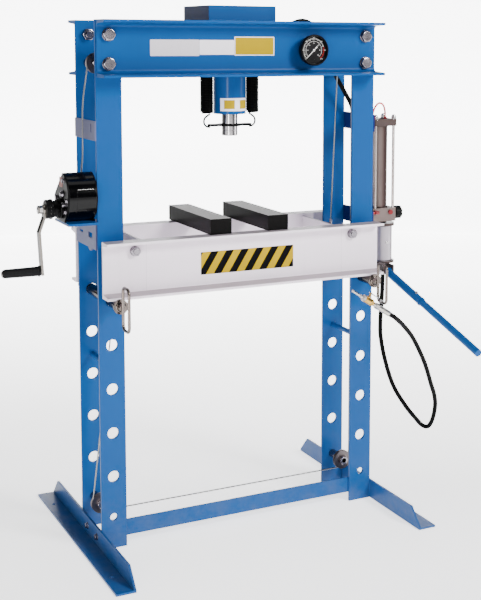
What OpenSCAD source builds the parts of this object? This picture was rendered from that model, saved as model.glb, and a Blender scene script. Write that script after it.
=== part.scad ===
// Workshop hydraulic press: H-frame of paired flat-bar posts, winch-lifted bed, hand and air pump.
// Millimetres. X runs left to right across the bed, Y front to back, Z up. The origin is on the
// floor at the centre of the four anchor holes in the feet.

/* [Frame] */
// half width over the posts' outer faces
half_w = 527; // [515:1:540]
// post width, across X
post_w = 89; // [82:1:96]
// thickness of a post's flat bar
post_t = 10; // [8:0.5:12]
// edge radius of a post's flat bar
post_r = 1.5; // [1:0.25:3]
// distance of a post's outer face from the middle plane
post_y = 116; // [110:1:122]
// height of the posts and of the head's upper flange
frame_h = 1800; // [1750:5:1850]
// diameter of a bed pin hole
pin_hole_d = 40; // [39:0.5:42]
// height of the lowest pin hole
pin_hole_z = 253; // [240:1:262]
// pitch of the pin holes
pin_pitch = 152.4; // [150:0.2:154]
// number of pin holes in a post
pin_holes = 5; // [5:1:5]
// diameter of the low sight hole in a front post
sight_d = 26; // [20:1:30]
// diameter of the rods between front and rear posts
tie_d = 19; // [16:1:22]
// height of those rods
tie_z = 630; // [600:1:660]

/* [Feet] */
// length of a foot
foot_l = 941; // [900:1:980]
// width of its floor leg
foot_w = 67; // [60:1:75]
// height of its upright leg
foot_h = 69; // [60:1:75]
// thickness of the angle
foot_t = 7.5; // [6:0.5:9]
// length of the slope at each end of the upright leg
foot_cut = 59; // [40:1:70]
// diameter of an anchor hole
anchor_d = 14; // [12:1:18]
// distance of the anchor holes from the middle plane
anchor_y = 345; // [320:1:380]
// distance of the anchor holes outside the posts
anchor_x = 41; // [35:1:48]
// height of the front rail's lower edge
rail_z = 33; // [25:1:40]
// height of the front rail
rail_h = 57; // [50:1:64]
// thickness of the front rail
rail_t = 6; // [5:0.5:8]
// how far the rail laps behind each front post
rail_lap = 30; // [20:1:40]

/* [Head] */
// set-back of the head channels' ends inside the posts' outer faces
beam_in = 3; // [1:0.5:9]
// height of the head channels
beam_h = 189; // [180:1:198]
// web thickness of the head channels
beam_t = 8; // [7:0.5:10]
// flange reach of the head channels
beam_flange = 86; // [78:1:92]
// flange thickness at the tip
beam_tip = 9; // [8:0.5:11]
// flange thickness at the root
beam_root = 14; // [12:0.5:16]
// bolt line of the head, inside the posts' outer faces
head_bolt_in = 43; // [41:1:45]
// upper bolts below the top of the posts
bolt_hi_down = 49; // [44:1:55]
// lower bolts below the top of the posts
bolt_lo_down = 145; // [140:1:150]
// head bolt diameter
head_bolt_d = 24; // [20:1:24]
// across the flats of the head bolts
head_af = 37; // [34:1:40]
// half width of the cylinder block
block_x = 126; // [120:1:132]
// top of the cylinder block above the posts
block_up = 53; // [48:1:58]
// depth of the cylinder block below the top of the posts
block_down = 60; // [50:1:70]
// thickness of the plate round the cylinder
plate_t = 14; // [10:1:18]
// underside of that plate below the top of the posts
plate_down = 160; // [152:1:168]
// height of the oil port in the block, below the top of the posts
port_down = 30; // [24:1:34]

/* [Ram] */
// cylinder diameter
cyl_d = 115; // [110:1:118]
// cylinder bore
cyl_bore = 70; // [66:1:76]
// cylinder's lower end below the top of the posts
cyl_down = 326; // [320:1:328]
// ram diameter
ram_d = 56; // [52:1:60]
// ram's nose below the top of the posts
ram_down = 404; // [398:1:410]
// ram travel
ram_travel = 150; // [120:5:150]
// spring bracket's underside above the ram's nose
bracket_up = 34; // [32:1:35]
// thickness of the spring bracket's plate
bracket_t = 8; // [6:1:10]
// distance of the springs from the ram's axis
spring_x = 88; // [86:1:90]
// spring outside diameter
spring_d = 48; // [44:1:50]
// springs' lower ends above the spring bracket's underside
spring_up = 44; // [42:1:50]

/* [Gauge] */
// gauge position across X
gauge_x = 253; // [246:1:260]
// gauge centre below the top of the posts
gauge_down = 99; // [94:1:104]
// gauge diameter
gauge_d = 110; // [104:1:114]
// distance of the gauge's face from the middle plane
gauge_y = 174; // [168:1:180]
// depth of the gauge's case
gauge_depth = 32; // [26:1:36]

/* [Bed] */
// set-back of the bed channels' ends inside the posts' outer faces
bed_in = 3; // [1:0.5:9]
// distance of a bed channel's web face from the middle plane
bed_y = 157; // [154:1:160]
// height of the bed channels
bed_h = 189.5; // [184:0.5:196]
// web thickness of the bed channels
bed_t = 8; // [7:0.5:10]
// flange reach of the bed channels
bed_flange = 58; // [52:1:62]
// flange thickness at the tip
bed_tip = 9; // [8:0.5:11]
// flange thickness at the root
bed_root = 15; // [12:0.5:17]
// fillet radius inside the bed channels
bed_r = 4; // [2:0.5:4]
// place of the cross plates, inside the posts' outer faces
bed_plate_in = 154; // [147:1:167]
// thickness of the cross plates
bed_plate_t = 8; // [6:0.5:10]
// place of the bed's rods, inside the posts' outer faces
bed_rod_in = 113; // [109:1:119]
// height of the bed's rods above its underside
bed_rod_up = 153; // [146:1:158]
// diameter of the bed's rods
bed_rod_d = 20; // [18:1:22]
// bed travel
bed_travel = 110; // [80:5:110]
// half width of the striped panel
panel_x = 176.5; // [170:0.5:180]
// lower edge of the panel above the bed's underside
panel_lo = 51; // [46:1:56]
// height of the panel
panel_h = 78; // [72:1:84]
// thickness of the panel
panel_t = 1.2; // [1:0.2:2]
// width of a press bar
bar_w = 78; // [74:1:82]
// height of a press bar
bar_h = 54; // [50:1:56]
// centre of a press bar, across X
bar_x = 108.5; // [104:0.5:112]
// front end of the press bars
bar_front = -175; // [-190:1:-165]
// rear end of the press bars
bar_rear = 227; // [215:1:235]

/* [Bed pins] */
// pin diameter
pin_d = 38; // [36:0.5:38]
// rear end of a pin
pin_rear = 215; // [208:1:225]
// collar diameter
pin_collar_d = 50; // [46:1:52]
// collar thickness
pin_collar_t = 8; // [6:0.5:10]
// wire diameter of a pin's loop
loop_wire = 10; // [8:0.5:11]
// half height of a loop, on its centreline
loop_half_h = 70.5; // [66:0.5:74]
// half width of a loop, on its centreline
loop_half_w = 30; // [28:0.5:32]
// corner radius of a loop, on its centreline
loop_r = 18; // [14:0.5:20]
// middle of a loop in front of the middle plane
loop_y = 268; // [264:1:272]

/* [Lift] */
// rope centreline radius on a pulley
sheave_r = 30; // [28:0.5:32]
// rope diameter
rope_d = 5; // [4:0.5:6]
// pulley width
sheave_w = 14; // [12:1:14]
// height of the lower pulleys
sheave_low = 110.5; // [106:0.5:114]
// pulley axle diameter
axle_d = 20; // [16:1:20]
// plane of the left lifting rope
rope_y1 = 12; // [10:1:13]
// plane of the tie rope
rope_y2 = 28; // [27:1:30]
// winch cover radius
winch_r = 82; // [80:1:86]
// winch axis: forward of the middle plane
winch_y = 60; // [58:1:62]
// height of the crank's axis above the shelf's top
crank_up = 43; // [41:1:45]
// height of the drum's axis above the crank's axis
drum_up = 50; // [49:1:51]
// drum's axis in front of the crank's axis
drum_front = 20; // [18:1:22]
// length of the winch's body
winch_l = 90; // [86:1:96]
// height of the winch shelf's top
shelf_z = 1135; // [1130:1:1140]
// thickness of the winch shelf
shelf_t = 8; // [6:0.5:10]
// height of the upper left plate's lower edge
left_plate_z = 1402; // [1380:1:1420]
// height of the upper left plate
left_plate_h = 65; // [60:1:70]
// crank radius
crank_l = 204; // [195:1:210]

/* [Pump] */
// pump axis outside the posts' outer faces
pump_out = 94; // [91:1:97]
// width of the pump's end cap
cap_w = 98; // [94:1:100]
// top of the end cap
cap_z = 1440; // [1436:1:1444]
// thickness of the end cap
cap_t = 26; // [22:1:30]
// barrel diameter
barrel_d = 62; // [58:1:66]
// top of the valve block
valve_z = 1100; // [1097:1:1103]
// height of the valve block
valve_h = 51; // [48:1:52]
// diameter of the release knob
knob_d = 50; // [46:1:53]
// length of the release knob's neck
knob_out = 15; // [11:1:18]
// width of the valve block
valve_w = 100; // [96:1:102]
// diameter of a tie rod
stay_d = 11; // [9:0.5:12]
// distance of the tie rods inside the cap's edges
stay_in = 9.5; // [9:0.5:12]
// tank diameter
tank_d = 80; // [76:1:82]
// tank axis, to the right of the pump axis
tank_dx = 15; // [12:1:18]
// height of the tank's lower flange
tank_z = 885; // [883:1:888]
// lever pivot, forward of the middle plane
lever_y = 70; // [68:1:74]
// height of the lever's pivot
lever_z = 861; // [859:1:863]
// fall of the lever at rest, in degrees
lever_fall = 16.3; // [15:0.1:18]
// lever travel, in degrees
lever_swing = 55; // [45:1:55]
// lever length
lever_l = 632; // [600:1:650]
// gap between the plunger and the lever's tail at rest
tail_gap = 0.6; // [0.5:0.1:0.9]
// socket length of the lever
socket_l = 256; // [230:1:280]

/* [Hoses] */
// hydraulic hose diameter
hyd_d = 17; // [16:0.5:18]
// air hose diameter
hose_d = 17; // [16:0.5:17.5]
// air tube diameter
tube_d = 7; // [6:0.5:8]
// slope of the hose end that hangs on the right loop, in degrees
valve_fall = 33; // [32:0.5:34]

/* [Hidden] */
$fn = 48;
run_gap = 0.3;
fit_gap = 0.05;
bolt_gap = 0.25;
flange_gap = 1;
// how far a left strap laps on the edge of a post
strap_lap = 4;
hole_x = half_w - post_w/2;
post_in = post_y - post_t;
beam_half = half_w - beam_in;
bed_half = half_w - bed_in;
head_bolt_x = half_w - head_bolt_in;
head_bolt_hi = frame_h - bolt_hi_down;
head_bolt_lo = frame_h - bolt_lo_down;
plate_z = frame_h - plate_down;
port_z = frame_h - port_down;
cyl_z = frame_h - cyl_down;
ram_z = frame_h - ram_down;
bracket_z = ram_z + bracket_up;
spring_z = bracket_z + spring_up;
gauge_z = frame_h - gauge_down;
bed_plate_x = half_w - bed_plate_in;
bed_rod_x = half_w - bed_rod_in;
crank_z = shelf_z + crank_up;
drum_z = crank_z + drum_up;
pump_x = half_w + pump_out;
stay = cap_w/2 - stay_in;
pin_z = pin_hole_z + 4*pin_pitch - (pin_hole_d - pin_d)/2 + fit_gap;
bed_z = pin_z + pin_d/2 + run_gap;
bed_top = bed_z + bed_h;
bed_rod_z = bed_z + bed_rod_up;
web_o = post_y + beam_t;
beam_z = frame_h - beam_h;
block_z = frame_h - block_down;
rope_r = rope_d/2;
rim_r = sheave_r + 6;
groove_r = sheave_r - rope_r - run_gap;
loop_rod_r = bed_rod_d/2 + run_gap + rope_r;
strap_t = 5;
strap_x = half_w + strap_t;
strap_hi = cap_z + 23;
strap_lo = valve_z + 1;
collar_y = bed_y - bed_t + bed_flange + flange_gap;
blue = [0.17, 0.42, 0.66];
steel = [0.62, 0.62, 0.64];
dark = [0.12, 0.12, 0.13];
zinc = [0.72, 0.72, 0.70];
pale = [0.85, 0.83, 0.85];

// shared shapes
module rrect(w, h, r) {
  square([w - 2*r, h], center = true);
  square([w, h - 2*r], center = true);
  for (x = [-1, 1], y = [-1, 1]) translate([x*(w/2 - r), y*(h/2 - r)]) circle(r);
}
module flip_x(on) { if (on) mirror([1, 0, 0]) children(); else children(); }
module flip_y(on) { if (on) mirror([0, 1, 0]) children(); else children(); }
module rod_x(x0, x1, y, z, d) { translate([x0, y, z]) rotate([0, 90, 0]) cylinder(d = d, h = x1 - x0); }
module rod_y(y0, y1, x, z, d) { translate([x, y1, z]) rotate([90, 0, 0]) cylinder(d = d, h = y1 - y0); }
module rod_z(z0, z1, x, y, d) { translate([x, y, z0]) cylinder(d = d, h = z1 - z0); }
module hex_y(y0, y1, x, z, af) {
  translate([x, y1, z]) rotate([90, 0, 0]) cylinder(d = af/cos(30), h = y1 - y0, $fn = 6);
}
module hex_x(x0, x1, y, z, af) {
  translate([x0, y, z]) rotate([0, 90, 0]) cylinder(d = af/cos(30), h = x1 - x0, $fn = 6);
}
module tube_z(z0, z1, x, y, d, bore) {
  difference() { rod_z(z0, z1, x, y, d); rod_z(z0 - 1, z1 + 1, x, y, bore); }
}
// channel section in (y, z): web from 0 to t, flanges to reach f, height h, tapered and filleted
function fillet(cx, cz, r, a0, a1) = [for (i = [0:6]) let (a = a0 + (a1 - a0)*i/6)
    [cx + r*cos(a), cz + r*sin(a)]];
module channel2d(t, f, h, tip, root, r) {
  k = (root - tip)/(f - t);
  polygon(concat([[0, 0], [f, 0], [f, tip - 2], [f - 2, tip]],
    fillet(t + r, root - k*r + r, r, 270, 180),
    fillet(t + r, h - root + k*r - r, r, 180, 90),
    [[f - 2, h - tip], [f, h - tip + 2], [f, h], [0, h]]));
}
module channel_x(x0, x1, y, z, t, f, h, tip, root, r) {
  translate([x0, y, z]) rotate([90, 0, 90]) mirror([1, 0, 0]) linear_extrude(x1 - x0)
    channel2d(t, f, h, tip, root, r);
}
// swept round tube through points, rings kept square to the path
function vlen(v) = norm(v);
function unit(v) = v/norm(v);
function cr(a, b, c, d, t) = 0.5*(2*b + (c - a)*t + (2*a - 5*b + 4*c - d)*t*t + (3*b - a - 3*c + d)*t*t*t);
function before(p, i) = i == 0 ? 2*p[0] - p[1] : p[i - 1];
function after(p, i) = let (m = len(p)) i == m - 2 ? 2*p[m - 1] - p[m - 2] : p[i + 2];
function dense(p, n) = concat([for (i = [0:len(p) - 2], j = [0:n - 1])
    cr(before(p, i), p[i], p[i + 1], after(p, i), j/n)], [p[len(p) - 1]]);
function tangent(q, i) = unit(q[min(i + 1, len(q) - 1)] - q[max(i - 1, 0)]);
module swept(p, d, n, sides, up) {
  q = dense(p, n);
  m = len(q);
  t = [for (i = [0:m - 1]) tangent(q, i)];
  u = [for (i = 0, a = unit(up - (up*t[0])*t[0]); i < m; i = i + 1,
       a = i < m ? unit(a - (a*t[i])*t[i]) : a) a];
  pts = [for (i = [0:m - 1], s = [0:sides - 1]) let (w = cross(t[i], u[i]))
      q[i] + d/2*(cos(360*s/sides)*u[i] + sin(360*s/sides)*w)];
  side = [for (i = [0:m - 2], s = [0:sides - 1], h = [0, 1])
      let (a = i*sides, b = a + sides, s2 = (s + 1) % sides)
      h == 0 ? [a + s, b + s, b + s2] : [a + s, b + s2, a + s2]];
  polyhedron(pts, concat(side, [[for (s = [0:sides - 1]) s]],
      [[for (s = [sides - 1:-1:0]) (m - 1)*sides + s]]), convexity = 6);
}
// common tangent of two circles in the XZ plane; s1 and s2 pick the side, g the turn
function tan_n(c1, r1, s1, c2, r2, s2, g) = let (d = c2 - c1, k = s1*r1 - s2*r2,
    a = atan2(d[1], d[0]) + g*acos(k/norm(d))) [cos(a), sin(a)];
top_l = [-head_bolt_x, head_bolt_lo];
top_r = [head_bolt_x, head_bolt_lo];
low_l = [-head_bolt_x, sheave_low];
low_r = [head_bolt_x, sheave_low];
rod_l = [-bed_rod_x, bed_rod_z];
rod_r = [bed_rod_x, bed_rod_z];
n_ll = tan_n(top_l, sheave_r, 1, rod_l, loop_rod_r, -1, 1);
n_lr = tan_n(top_r, sheave_r, -1, rod_r, loop_rod_r, 1, 1);
n_tl = tan_n(low_l, sheave_r, -1, rod_l, loop_rod_r, 1, -1);
module rope_line(a, b, y) {
  v = b - a;
  translate([a[0], y, a[1]]) rotate([0, atan2(v[0], v[1]), 0]) cylinder(d = rope_d, h = norm(v), $fn = 16);
}
function arc_pts(c, y, a0, a1) = let (n = ceil(abs(a1 - a0)/12))
  [for (i = [0:n]) let (a = a0 + (a1 - a0)*i/n) [c[0] + sheave_r*cos(a), y, c[1] + sheave_r*sin(a)]];

// posts
module post(sx, rear) {
  y0 = (rear ? post_in : -post_y) - 6;
  y1 = y0 + post_t + 12;
  color(blue) difference() {
    translate([sx*hole_x, (y0 + y1)/2, 0]) linear_extrude(frame_h) rrect(post_w, post_t, post_r);
    for (k = [0:pin_holes - 1]) rod_y(y0, y1, sx*hole_x, pin_hole_z + k*pin_pitch, pin_hole_d);
    rod_y(y0, y1, sx*head_bolt_x, head_bolt_hi, head_bolt_d + 2*bolt_gap);
    rod_y(y0, y1, sx*head_bolt_x, head_bolt_lo, (rear ? axle_d : head_bolt_d) + 2*bolt_gap);
    rod_y(y0, y1, sx*head_bolt_x, sheave_low, rear ? axle_d + 2*bolt_gap : sight_d);
  }
}
module post_front_left() { post(-1, false); }
module post_front_right() { post(1, false); }
module post_rear_left() { post(-1, true); }
module post_rear_right() { post(1, true); }
module cross_rods() {
  color(blue) for (s = [-1, 1]) rod_y(-post_in, post_in, s*hole_x, tie_z, tie_d);
}

// feet and rail
module foot(s) {
  color(blue) flip_x(s < 0) difference() {
    union() {
      translate([half_w, -foot_l/2, 0]) cube([foot_w, foot_l, foot_t]);
      translate([half_w, 0, 0]) rotate([90, 0, 90]) linear_extrude(foot_t) polygon([[-foot_l/2, 0],
        [foot_l/2, 0], [foot_l/2, foot_t], [foot_l/2 - foot_cut, foot_h], [-foot_l/2 + foot_cut, foot_h],
        [-foot_l/2, foot_t]]);
    }
    for (y = [-anchor_y, anchor_y]) rod_z(-1, foot_t + 1, half_w + anchor_x, y, anchor_d);
  }
}
module foot_left() { foot(-1); }
module foot_right() { foot(1); }
module bottom_rail() {
  x = half_w - post_w + rail_lap;
  color(blue) {
    translate([-x, -post_in, rail_z]) cube([2*x, rail_t, rail_h]);
    translate([-x, -post_in, rail_z]) cube([2*x, rail_h - 10, rail_t]);
  }
}

// head
module beam(sy) {
  color(blue) difference() {
    flip_y(sy > 0) channel_x(-beam_half, beam_half, -post_y, beam_z,
      beam_t, beam_flange, beam_h, beam_tip, beam_root, 12);
    for (s = [-1, 1]) flip_y(sy > 0) {
      rod_y(-web_o - 16, -post_y + 16, s*head_bolt_x, head_bolt_hi, head_bolt_d + 2*bolt_gap);
      rod_y(-web_o - 16, -post_y + 16, s*head_bolt_x, head_bolt_lo,
        (sy > 0 ? axle_d : head_bolt_d) + 2*bolt_gap);
    }
    if (sy < 0) rod_y(-web_o - 16, -post_y + 16, gauge_x, gauge_z, 20 + 2*bolt_gap);
  }
}
module beam_front() { beam(-1); }
module beam_rear() { beam(1); }
// one bolt through two webs: d, washer, head outside, nut inside; s = -1 front, 1 rear
module head_bolt(x, z, s) {
  flip_y(s > 0) {
    rod_y(-web_o - 3, 24 - post_in, x, z, head_bolt_d);
    rod_y(-web_o - 3, -web_o, x, z, head_af + 7);
    hex_y(-web_o - 17, -web_o - 3, x, z, head_af);
    hex_y(-post_in, 19 - post_in, x, z, head_af);
  }
}
// pulley axle from the rear webs: nut outside at yo, tube to the pulley at yc, head in front
module axle(x, z, yo, yc) {
  a = yc - sheave_w/2 - run_gap;
  b = yc + sheave_w/2 + run_gap;
  rod_y(a - 12, yo + 22, x, z, axle_d);
  hex_y(a - 12, a, x, z, 30);
  rod_y(b, post_in, x, z, 32);
  rod_y(yo, yo + 3, x, z, 40);
  hex_y(yo + 3, yo + 18, x, z, 30);
}
module frame_bolts() {
  color(steel) {
    for (x = [-head_bolt_x, head_bolt_x], z = [head_bolt_lo, head_bolt_hi]) head_bolt(x, z, -1);
    for (x = [-head_bolt_x, head_bolt_x]) head_bolt(x, head_bolt_hi, 1);
    axle(-head_bolt_x, head_bolt_lo, web_o, rope_y1);
    axle(head_bolt_x, head_bolt_lo, web_o, rope_y2);
    for (x = [-head_bolt_x, head_bolt_x]) axle(x, sheave_low, post_y, rope_y2);
  }
}
module small_bolt_x(x, y, z, af) { rod_x(x, x + 2, y, z, af*1.45); hex_x(x + 2, x + 9, y, z, af); }
module small_bolts() {
  color(zinc) {
    for (y = [-82, 27]) {
      small_bolt_x(half_w + foot_t, y, 37, 17);
      mirror([1, 0, 0]) small_bolt_x(half_w + foot_t, y, 37, 17);
    }
    for (z = [strap_hi - 31, strap_lo - 28], y = [-20, 20]) mirror([1, 0, 0]) small_bolt_x(-half_w, y, z, 12);
    for (y = [-90, -4]) mirror([1, 0, 0]) translate([strap_x + 56, y, shelf_z - shelf_t]) rotate([0, 90, 0])
      small_bolt_x(0, 0, 0, 13);
  }
}
module top_block() {
  color(blue) {
    translate([-block_x, -post_y, block_z]) cube([2*block_x, 2*post_y, block_down + block_up]);
    difference() {
      translate([-block_x, -post_y, plate_z]) cube([2*block_x, 2*post_y, plate_t]);
      rod_z(plate_z - 1, plate_z + plate_t + 1, 0, 0, cyl_d);
    }
  }
}

// cylinder, ram, springs
module cylinder_tube() {
  color(blue) difference() {
    rod_z(cyl_z, block_z, 0, 0, cyl_d);
    rod_z(cyl_z + 22, block_z - 14, 0, 0, cyl_bore);
    rod_z(cyl_z - 1, cyl_z + 40, 0, 0, ram_d + 2*fit_gap);
  }
}
ram_top = block_z - 14 - 6;
module ram() {
  color(dark) union() {
    difference() {
      rod_z(ram_z + 2, ram_top, 0, 0, ram_d);
      tube_z(ram_z + 18, ram_z + 20, 0, 0, ram_d + 4, ram_d - 2);
    }
    translate([0, 0, ram_z]) cylinder(d1 = ram_d - 4, d2 = ram_d, h = 2);
    rod_z(ram_top - 34, ram_top, 0, 0, cyl_bore - 2*fit_gap);
  }
}
// hook from under the bracket's end, out and up to the spring
module hook(s) {
  x = spring_x;
  swept([[s*(x - 12), 0, bracket_z - 2.5], [s*x, 0, bracket_z - 1], [s*(x + 9), 0, bracket_z + 8],
         [s*(x + 11), 0, bracket_z + 19], [s*(x + 7), 0, spring_z - 14], [s*(x - 2), 0, spring_z - 7],
         [s*(x - 12), 0, spring_z - run_gap]], 7, 2, 8, [0, 1, 0]);
}
module spring_bracket() {
  color(dark) {
    difference() {
      union() {
        rod_z(bracket_z, bracket_z + bracket_t, 0, 0, ram_d + 24);
        translate([20 - spring_x, -16, bracket_z]) cube([2*spring_x - 40, 32, bracket_t]);
        for (s = [-1, 1]) rod_z(bracket_z, bracket_z + bracket_t, s*(spring_x - 20), 0, 32);
      }
      rod_z(bracket_z - 1, bracket_z + bracket_t + 1, 0, 0, ram_d);
    }
    for (s = [-1, 1]) hook(s);
  }
}
coil_n = 24;
spring_l = plate_z - spring_z;
module return_springs() {
  p = spring_l/coil_n;
  color(dark) for (s = [-1, 1]) translate([s*spring_x, 0, spring_z]) rotate_extrude($fn = 32)
    polygon(concat([[spring_d/2 - 7, 0]], [for (i = [0:coil_n - 1], h = [0, 1])
      h == 0 ? [spring_d/2 - 2, i*p] : [spring_d/2, (i + 0.5)*p]],
      [[spring_d/2 - 2, spring_l], [spring_d/2 - 7, spring_l]]));
}

// gauge
module gauge_case() {
  y0 = -gauge_y;
  y1 = y0 + gauge_depth;
  color(dark) {
    difference() {
      rod_y(y0, y1, gauge_x, gauge_z, gauge_d);
      rod_y(y0 - 1, y0 + 12, gauge_x, gauge_z, gauge_d - 12);
    }
    rod_y(y0 + 11.5, y0 + 12.5, gauge_x, gauge_z, gauge_d - 12);
    rod_y(y0 + 8, y0 + 12, gauge_x, gauge_z, 4);
    rod_y(y1, -web_o, gauge_x, gauge_z, 36);
    rod_y(-web_o, 20 - post_y, gauge_x, gauge_z, 20);
    hex_y(-post_y, 12 - post_y, gauge_x, gauge_z, 30);
  }
}
module gauge_needle() {
  color(pale) translate([gauge_x, -gauge_y, gauge_z]) difference() {
    union() {
      rod_y(7.5, 10, 0, 0, 11);
      rotate([0, 45, 0]) translate([-1.2, 8, 13 - gauge_d/2]) cube([2.4, 1, gauge_d/2 + 5]);
    }
    rod_y(7, 11, 0, 0, 4 + 2*fit_gap);
  }
}
module gauge_lens() {
  color([0.8, 0.9, 0.95, 0.4]) rod_y(-gauge_y + 2, -gauge_y + 4.5, gauge_x, gauge_z, gauge_d - 12);
}

// straps
module strap_plate(y0, y1, z0, z1) { translate([half_w, y0, z0]) cube([strap_t, y1 - y0, z1 - z0]); }
module left_plates() {
  color(zinc) mirror([1, 0, 0]) {
    difference() {
      strap_plate(-post_y, post_in + strap_lap, left_plate_z, left_plate_z + left_plate_h);
      for (y = [28, -74]) {
        translate([half_w - 1, y - 4, left_plate_z + 29]) cube([strap_t + 2, 8, 22]);
        for (z = [29, 51]) rod_x(half_w - 1, strap_x + 1, y, left_plate_z + z, 8);
      }
    }
    difference() {
      union() {
        strap_plate(-post_in - strap_lap, post_in + strap_lap, shelf_z - 98, shelf_z + 6);
        rod_x(half_w, strap_x, -46, shelf_z - 78, 60);
      }
      translate([half_w - 1, 34, shelf_z - 58]) cube([strap_t + 2, 40, 8]);
      translate([half_w - 1, -71, shelf_z - 63]) cube([strap_t + 2, 44, 18]);
    }
  }
}
module pump_straps() {
  color(blue) {
    strap_plate(-post_y, post_y, strap_hi - 63, strap_hi);
    strap_plate(-post_y, post_y, strap_lo - 60, strap_lo);
    translate([strap_x, -30, cap_z - cap_t + 4]) cube([pump_x - cap_w/2 - strap_x, 60, cap_t - 8]);
    translate([strap_x, -30, valve_z - 44]) cube([pump_x - valve_w/2 - strap_x, 60, 36]);
  }
}

// winch
wx0 = -strap_x - 4;
wx1 = wx0 - winch_l;
chord_a = 50;
chord = winch_r - 30;
winch_cz = shelf_z + winch_r;
drum_y = winch_y + drum_front;
module winch_outline(r) {
  difference() {
    circle(r, $fn = 72);
    rotate(chord_a) translate([chord, -100]) square([100, 200]);
  }
}
// (y, z) outline extruded along X from x0 to x1
module slab_x(x0, x1) {
  translate([x0, -winch_y, winch_cz]) rotate([90, 0, 90]) linear_extrude(x1 - x0) children();
}
module winch_shelf() {
  color(blue) {
    translate([wx1 - 6, -winch_y - winch_r, shelf_z - shelf_t])
      cube([-strap_x - wx1 + 6, winch_r + winch_y + 22, shelf_t]);
  }
}
module winch_cover() {
  color(dark) difference() {
    slab_x(wx1, wx0) winch_outline(winch_r);
    slab_x(wx1 - 1, wx0 + 1) winch_outline(winch_r - 3);
  }
}
module winch_plates() {
  color(dark) for (x = [wx0, wx1 - 6]) difference() {
    union() {
      slab_x(x, x + (x == wx0 ? 4 : 6)) winch_outline(winch_r);
      translate([x, -winch_y - 38, shelf_z]) cube([x == wx0 ? 4 : 6, 76, 20]);
    }
    rod_x(x - 1, x + 8, -winch_y, crank_z, 16 + 2*fit_gap);
    rod_x(x - 1, x + 8, -drum_y, drum_z, 16 + 2*fit_gap);
  }
}
pinion_r = 10.6;
drum_r = 25;
gear_r = norm([drum_y - winch_y, drum_z - crank_z]) - pinion_r - run_gap;
module winch_drum() {
  a = wx1 + run_gap;
  color(steel) {
    rod_x(a - 6, wx0 + 3.5, -drum_y, drum_z, 16);
    rod_x(a, a + 8, -drum_y, drum_z, 2*gear_r);
    rod_x(a + 8, wx0 - run_gap, -drum_y, drum_z, 2*drum_r);
    rod_x(wx0 - 4 - run_gap, wx0 - run_gap, -drum_y, drum_z, 84);
    rod_x(a + 12, a + 16, -drum_y, drum_z, 84);
  }
}
hub_x = wx1 - 6 - run_gap;
arm_x = hub_x - 62;
module winch_crank() {
  a = wx1 + run_gap;
  color(zinc) union() {
    rod_x(arm_x - 4, wx0 + 3.5, -winch_y, crank_z, 16);
    rod_x(a, a + 8, -winch_y, crank_z, 2*pinion_r);
    rod_x(hub_x - 9, hub_x, -winch_y, crank_z, 66);
    rod_x(hub_x - 31, hub_x - 9, -winch_y, crank_z, 52);
    rod_x(hub_x - 54, hub_x - 31, -winch_y, crank_z, 62);
    rod_x(arm_x, arm_x + 8, -winch_y, crank_z, 34);
    translate([arm_x, -winch_y + 14, 0]) rotate([90, 0, 0]) linear_extrude(28)
      polygon([[0, crank_z], [8, crank_z], [8, crank_z - 24], [-10, crank_z - 74],
               [-2, crank_z - crank_l - 14],
               [-10, crank_z - crank_l - 14], [-18, crank_z - 74], [0, crank_z - 24]]);
    hex_x(arm_x - 17, arm_x - 2, -winch_y, crank_z, 24);
    rod_x(arm_x - 2, arm_x, -winch_y, crank_z, 30);
    rod_x(arm_x - 136, arm_x - 8, -winch_y, crank_z - crank_l, 9);
    rod_x(arm_x - 139, arm_x - 136, -winch_y, crank_z - crank_l, 15);
  }
}
module crank_grip() {
  a = arm_x - 136 + run_gap;
  b = arm_x - 13 - run_gap;
  color(dark) difference() {
    union() {
      translate([a + 12, -winch_y, crank_z - crank_l]) rotate([0, 90, 0])
        cylinder(d1 = 30, d2 = 33, h = b - a - 18);
      rod_x(b - 6, b, -winch_y, crank_z - crank_l, 38);
      translate([a, -winch_y, crank_z - crank_l]) rotate([0, 90, 0]) cylinder(d1 = 26, d2 = 30, h = 12);
    }
    rod_x(a - 1, b + 1, -winch_y, crank_z - crank_l, 9 + 2*fit_gap);
  }
}

// pulleys
module pulley(c, y) {
  color(zinc) translate([c[0], y, c[1]]) rotate([90, 0, 0]) rotate_extrude()
    polygon([[axle_d/2 + fit_gap, -sheave_w/2], [rim_r, -sheave_w/2], [rim_r, -6], [groove_r + 2, -3.4],
             [groove_r, -2.2], [groove_r, 2.2], [groove_r + 2, 3.4], [rim_r, 6], [rim_r, sheave_w/2],
             [axle_d/2 + fit_gap, sheave_w/2]]);
}
module pulley_top_left() { pulley(top_l, rope_y1); }
module pulley_top_right() { pulley(top_r, rope_y2); }
module pulley_low_left() { pulley(low_l, rope_y2); }
module pulley_low_right() { pulley(low_r, rope_y2); }

// ropes
clamp_l = 30;
function on_rope(c, n, s, r) = c + s*r*n;
function ahead(n, g) = [g*n[1], -g*n[0]];
// outward of the post, depth, and share of the height from the drum to the left top pulley
lead_pts = [[-9, rope_y1 - 1, 0.93], [-4.5, rope_y1 - 2, 0.867], [4, 7, 0.749], [9.5, 3, 0.63],
  [12, -3, 0.473], [16, -12, 0.286], [25, -24, 0.145], [33, drum_r + rope_r + run_gap - drum_y, 0]];
module ropes_fixed() {
  color(steel) {
    swept(concat(arc_pts(top_l, rope_y1, atan2(n_ll[1], n_ll[0]), 180), dense([for (q = lead_pts)
      [-half_w - q[0], q[1], drum_z + q[2]*(head_bolt_lo - drum_z)]], 2)), rope_d, 1, 8, [0, 1, 0]);
    swept(concat(arc_pts(low_l, rope_y2, 180 + atan2(n_tl[1], n_tl[0]), 270), arc_pts(low_r, rope_y2, -90, 0),
      arc_pts(top_r, rope_y2, 0, 180 + atan2(n_lr[1], n_lr[0]))), rope_d, 1, 8, [0, 1, 0]);
  }
}
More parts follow.
